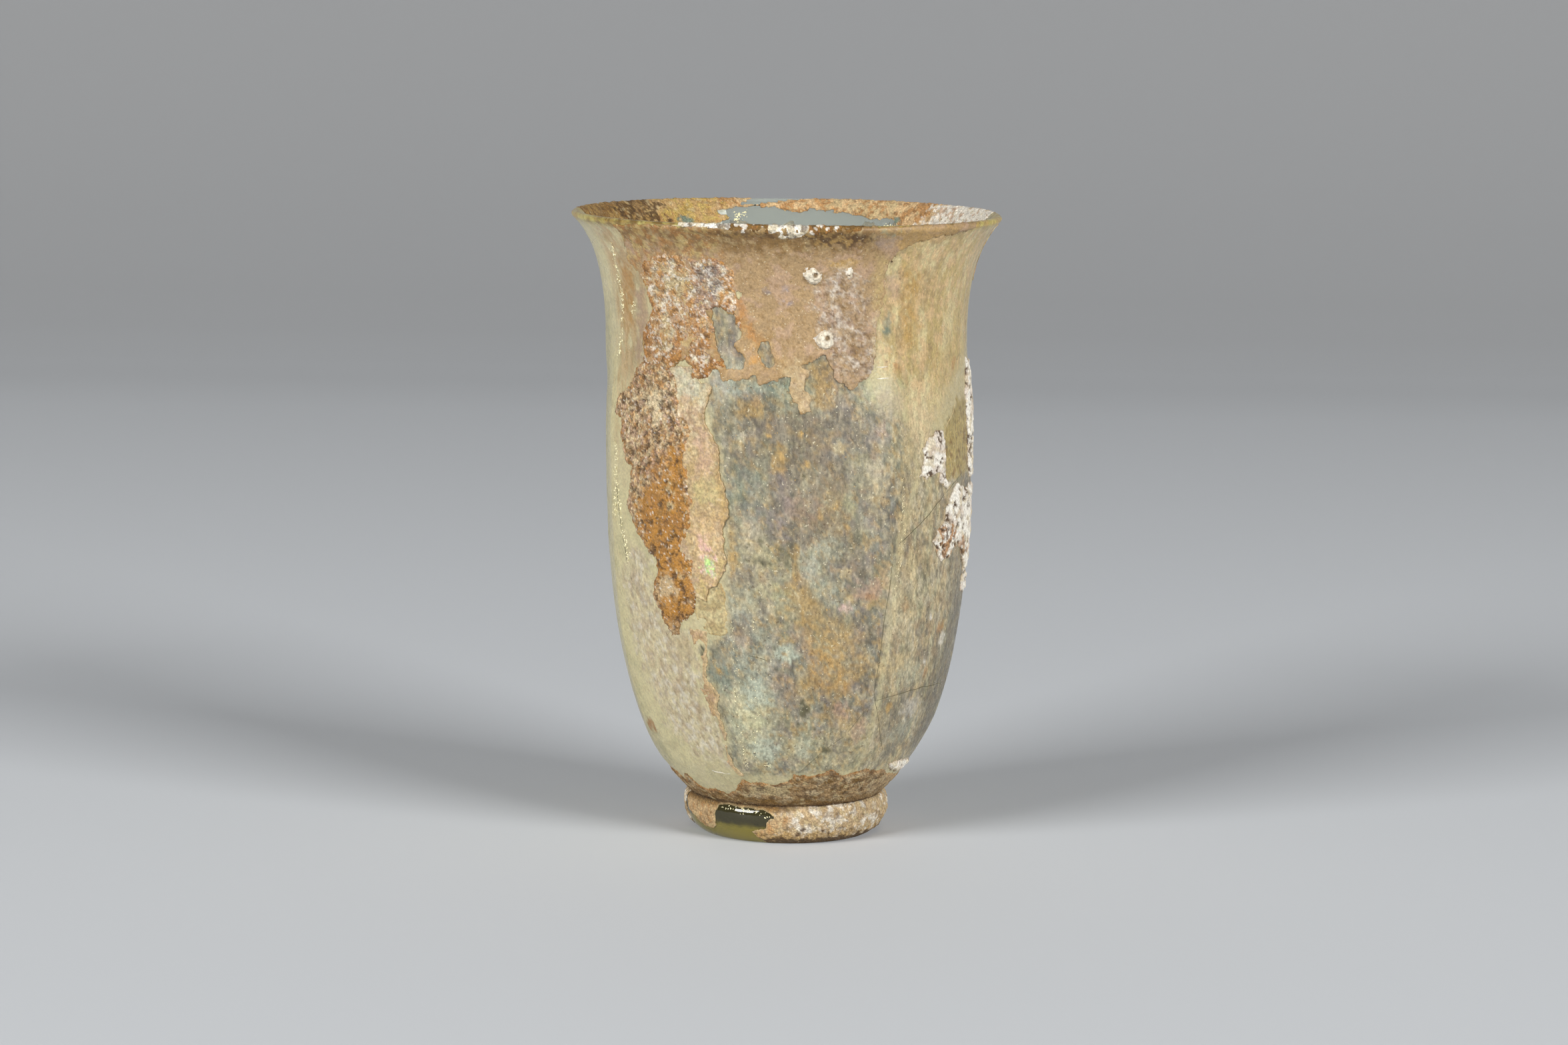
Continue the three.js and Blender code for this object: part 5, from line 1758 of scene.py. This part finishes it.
class BEAKER_OT_mouth_crust(Operator):
    """Lay the crusts on the lip and inside the mouth, and the soil on the floor inside"""

    bl_idname = "beaker.mouth_crust"
    bl_label = "Mouth crust"

    def execute(self, context):
        form, crusts = settings()
        full = crusts.rim / MM
        finish = crust_finish("mouth_grit", 0.4, 0.16, 0.9, 0.4, 0.25)
        for white, patches in ((True, LIP_LIME), (False, LIP_SOIL)):
            look = partial(lip_look, full, white)
            for name, corners in patches.items():
                ragged = (0.1 if white else 0.2, 1.4, 51)
                piece = lay_layer(form, name, pairs(corners), 0.16, ragged, look)
                fasten(piece, finish)
        look = partial(inside_look, full)
        for name, corners in (("inside_left", INSIDE_LEFT), ("inside_top", INSIDE_TOP)):
            piece = lay_layer(form, name, corners, 0.26, (0.45, 1.4, 52), look, inside=True)
            fasten(piece, finish)
        soil = lay_layer(form, "floor_soil", FLOOR_SOIL, 0.5, (0.6, 3, 53), look, inside=True, ring=True)
        fasten(soil, finish)
        return {"FINISHED"}


class BEAKER_OT_fine_lines(Operator):
    """Lay the cracks, ridges, rootlets, white threads that are painted highlights, and weathered flakes
    painted near white as glints
    """

    bl_idname = "beaker.fine_lines"
    bl_label = "Fine lines and flakes"

    def execute(self, context):
        form, _ = settings()
        lines = (
            ("crack_lines", CRACKS, 0.055, "crack", "slate", 0.5, "weathered_glass"),
            ("ridge_lines", RIDGES, 0.1, "ridge", "cream", 0.6, "flaking_film"),
            ("rootlets", ROOTLETS, 0.07, "rootlet", "umber", 0.7, "soil_crust"),
            # painted highlights: white threads standing in for the softboxes' glints
            ("painted_highlights", PAINTED_HIGHLIGHTS, 0.09, "gleam", "lime", 0.2, "flaking_film"),
        )
        for name, routes, radius, finish, shade, roughness, slot in lines:
            piece = gather(name, [thread(form, pairs(corners), radius) for corners in routes])
            fasten(piece, plain_finish(finish, form.shades[shade], roughness))
        # flakes of weathered film, their near-white colour a painted glint
        flake_glint_finish = plain_finish("flake_glint_finish", form.shades["gold"], 0.25, 0.15)
        dust = [
            flakes(form, pairs(corners), count, size, seed, inside)
            for inside, first, trails in ((False, 0, SPARKLES), (True, 20, INSIDE_SPARKLES))
            for seed, (corners, count, size) in enumerate(trails, first)
        ]
        fasten(gather("glinting_flakes", dust), flake_glint_finish)
        return {"FINISHED"}


class BEAKER_OT_stage(Operator):
    """Set up the pale floor, the softboxes and the camera"""

    bl_idname = "beaker.stage"
    bl_label = "Stage"

    def execute(self, context):
        colours = context.scene.beaker_colours
        build_floor(colours.floor, colours.backdrop)
        for side in (-1, 1):
            softbox("side_softbox", (side * KEY_PLACE[0], *KEY_PLACE[1:]), KEY_SIZE, KEY_WATTS)
        softbox("top_softbox", TOP_PLACE, TOP_SIZE, TOP_WATTS)
        world = bpy.data.worlds.new("studio")
        world.use_nodes = True
        background = world.node_tree.nodes["Background"]
        background.inputs["Color"].default_value = (1, 1, 1, 1)
        background.inputs["Strength"].default_value = WORLD_STRENGTH
        context.scene.world = world
        context.scene.view_settings.view_transform = "Standard"
        build_camera()
        return {"FINISHED"}


KEY_PLACE, KEY_SIZE, KEY_WATTS = (1.8, -1.62, 1.04), (1.15, 0.9), 68
TOP_PLACE, TOP_SIZE, TOP_WATTS = (0, -0.1, 1.6), (1.2, 1.0), 0.2
LIGHT_AIM, WORLD_STRENGTH = (0, 0, 0.06), 0.02
FLOOR_HALF_WIDTH, FLOOR_FRONT, FLOOR_BACK = 3.2, -2.4, 0.8
COVE_RADIUS, COVE_TOP, COVE_POINTS = 0.8, 2.4, 24
# Painted shade where less light reaches up the cove: how far the floor's tone has gone over to the darker
# backdrop's, in metres behind the beaker, and share
PAINTED_FALLOFF = [(0.3, 0.0), (0.7, 0.16), (0.84, 0.4), (0.916, 0.69), (0.97, 0.81), (1.06, 0.9), (1.25, 1.0)]


def build_floor(tint, backdrop):
    """A pale sheet that lies flat and then sweeps up behind, painted darker there as shade."""
    turn = np.linspace(0, pi / 2, COVE_POINTS)
    curve_y = FLOOR_BACK + COVE_RADIUS * np.sin(turn)
    curve_z = COVE_RADIUS * (1 - np.cos(turn))
    ys = np.concatenate([[FLOOR_FRONT], curve_y, [FLOOR_BACK + COVE_RADIUS]])
    zs = np.concatenate([[0], curve_z, [COVE_TOP]])
    points = [(side * FLOOR_HALF_WIDTH, y, z) for y, z in zip(ys, zs) for side in (-1, 1)]
    faces = [(2 * i, 2 * i + 1, 2 * i + 3, 2 * i + 2) for i in range(len(ys) - 1)]
    floor = new_mesh("floor", np.array(points) / MM, faces)
    finish = Finish("studio_floor", Roughness=0.7, Specular_IOR_Level=0.2)
    depth = finish.node("SeparateXYZ", Vector=finish.where).outputs["Y"]
    furthest = PAINTED_FALLOFF[-1][0]
    ramp = finish.node("ValToRGB", Fac=finish.maths("DIVIDE", depth, furthest))
    stops = ramp.color_ramp.elements
    stops.remove(stops[1])
    for place, share in PAINTED_FALLOFF:
        stops.new(place / furthest).color = (share, share, share, 1)
    tone = finish.mix(ramp.outputs["Color"], (*tint, 1), (*backdrop, 1))
    floor.data.materials.append(finish.wear(Base_Color=tone))


def softbox(name, place, size, watts):
    """A soft rectangular light aimed at the middle of the beaker."""
    lamp = bpy.data.lights.new(name, "AREA")
    lamp.shape = "RECTANGLE"
    lamp.size, lamp.size_y = size
    lamp.energy = watts
    holder = bpy.data.objects.new(name, lamp)
    holder.location = place
    aim = Vector(LIGHT_AIM) - Vector(place)
    holder.rotation_euler = aim.to_track_quat("-Z", "Y").to_euler()
    bpy.context.collection.objects.link(holder)


CAMERA_PLACE = (0.0003, -0.811, 0.1696)
CAMERA_TILT, CAMERA_ROLL = radians(90 - 7.83), radians(0.8)
CAMERA_LENS, CAMERA_SENSOR = 100, 36


def build_camera():
    """A long lens level with the mouth and a little above it, looking slightly down."""
    camera = bpy.data.objects.new("camera", bpy.data.cameras.new("camera"))
    camera.data.lens = CAMERA_LENS
    camera.data.sensor_width = CAMERA_SENSOR
    turned = Matrix.Rotation(CAMERA_TILT, 4, "X") @ Matrix.Rotation(CAMERA_ROLL, 4, "Z")
    camera.matrix_world = Matrix.Translation(CAMERA_PLACE) @ turned
    bpy.context.collection.objects.link(camera)
    bpy.context.scene.camera = camera


class BEAKER_PT_sidebar(Panel):
    """The beaker's sizes, colours and building steps"""

    bl_idname = "BEAKER_PT_sidebar"
    bl_label = "Weathered beaker"
    bl_space_type = "VIEW_3D"
    bl_region_type = "UI"
    bl_category = "Beaker"

    def draw(self, context):
        for group in (context.scene.beaker_sizes, context.scene.beaker_crusts, context.scene.beaker_colours):
            box = self.layout.box()
            for name in group.__annotations__:
                box.prop(group, name)
        for operator in OPERATORS:
            self.layout.operator(operator.bl_idname)


GROUPS = {"beaker_sizes": BeakerSizes, "beaker_crusts": CrustSizes, "beaker_colours": BeakerColours}
OPERATORS = [
    BEAKER_OT_glass,
    BEAKER_OT_rust,
    BEAKER_OT_films,
    BEAKER_OT_lime,
    BEAKER_OT_soil,
    BEAKER_OT_mouth_crust,
    BEAKER_OT_fine_lines,
    BEAKER_OT_stage,
]


def register():
    for made in (*GROUPS.values(), *OPERATORS, BEAKER_PT_sidebar):
        bpy.utils.register_class(made)
    for name, group in GROUPS.items():
        setattr(bpy.types.Scene, name, PointerProperty(type=group))


def unregister():
    for name in GROUPS:
        delattr(bpy.types.Scene, name)
    for made in (BEAKER_PT_sidebar, *reversed(OPERATORS), *GROUPS.values()):
        bpy.utils.unregister_class(made)


def main():
    register()
    bpy.ops.beaker.glass()
    bpy.ops.beaker.rust()
    bpy.ops.beaker.films()
    bpy.ops.beaker.lime()
    bpy.ops.beaker.soil()
    bpy.ops.beaker.mouth_crust()
    bpy.ops.beaker.fine_lines()
    bpy.ops.beaker.stage()


if __name__ == "__main__":
    main()
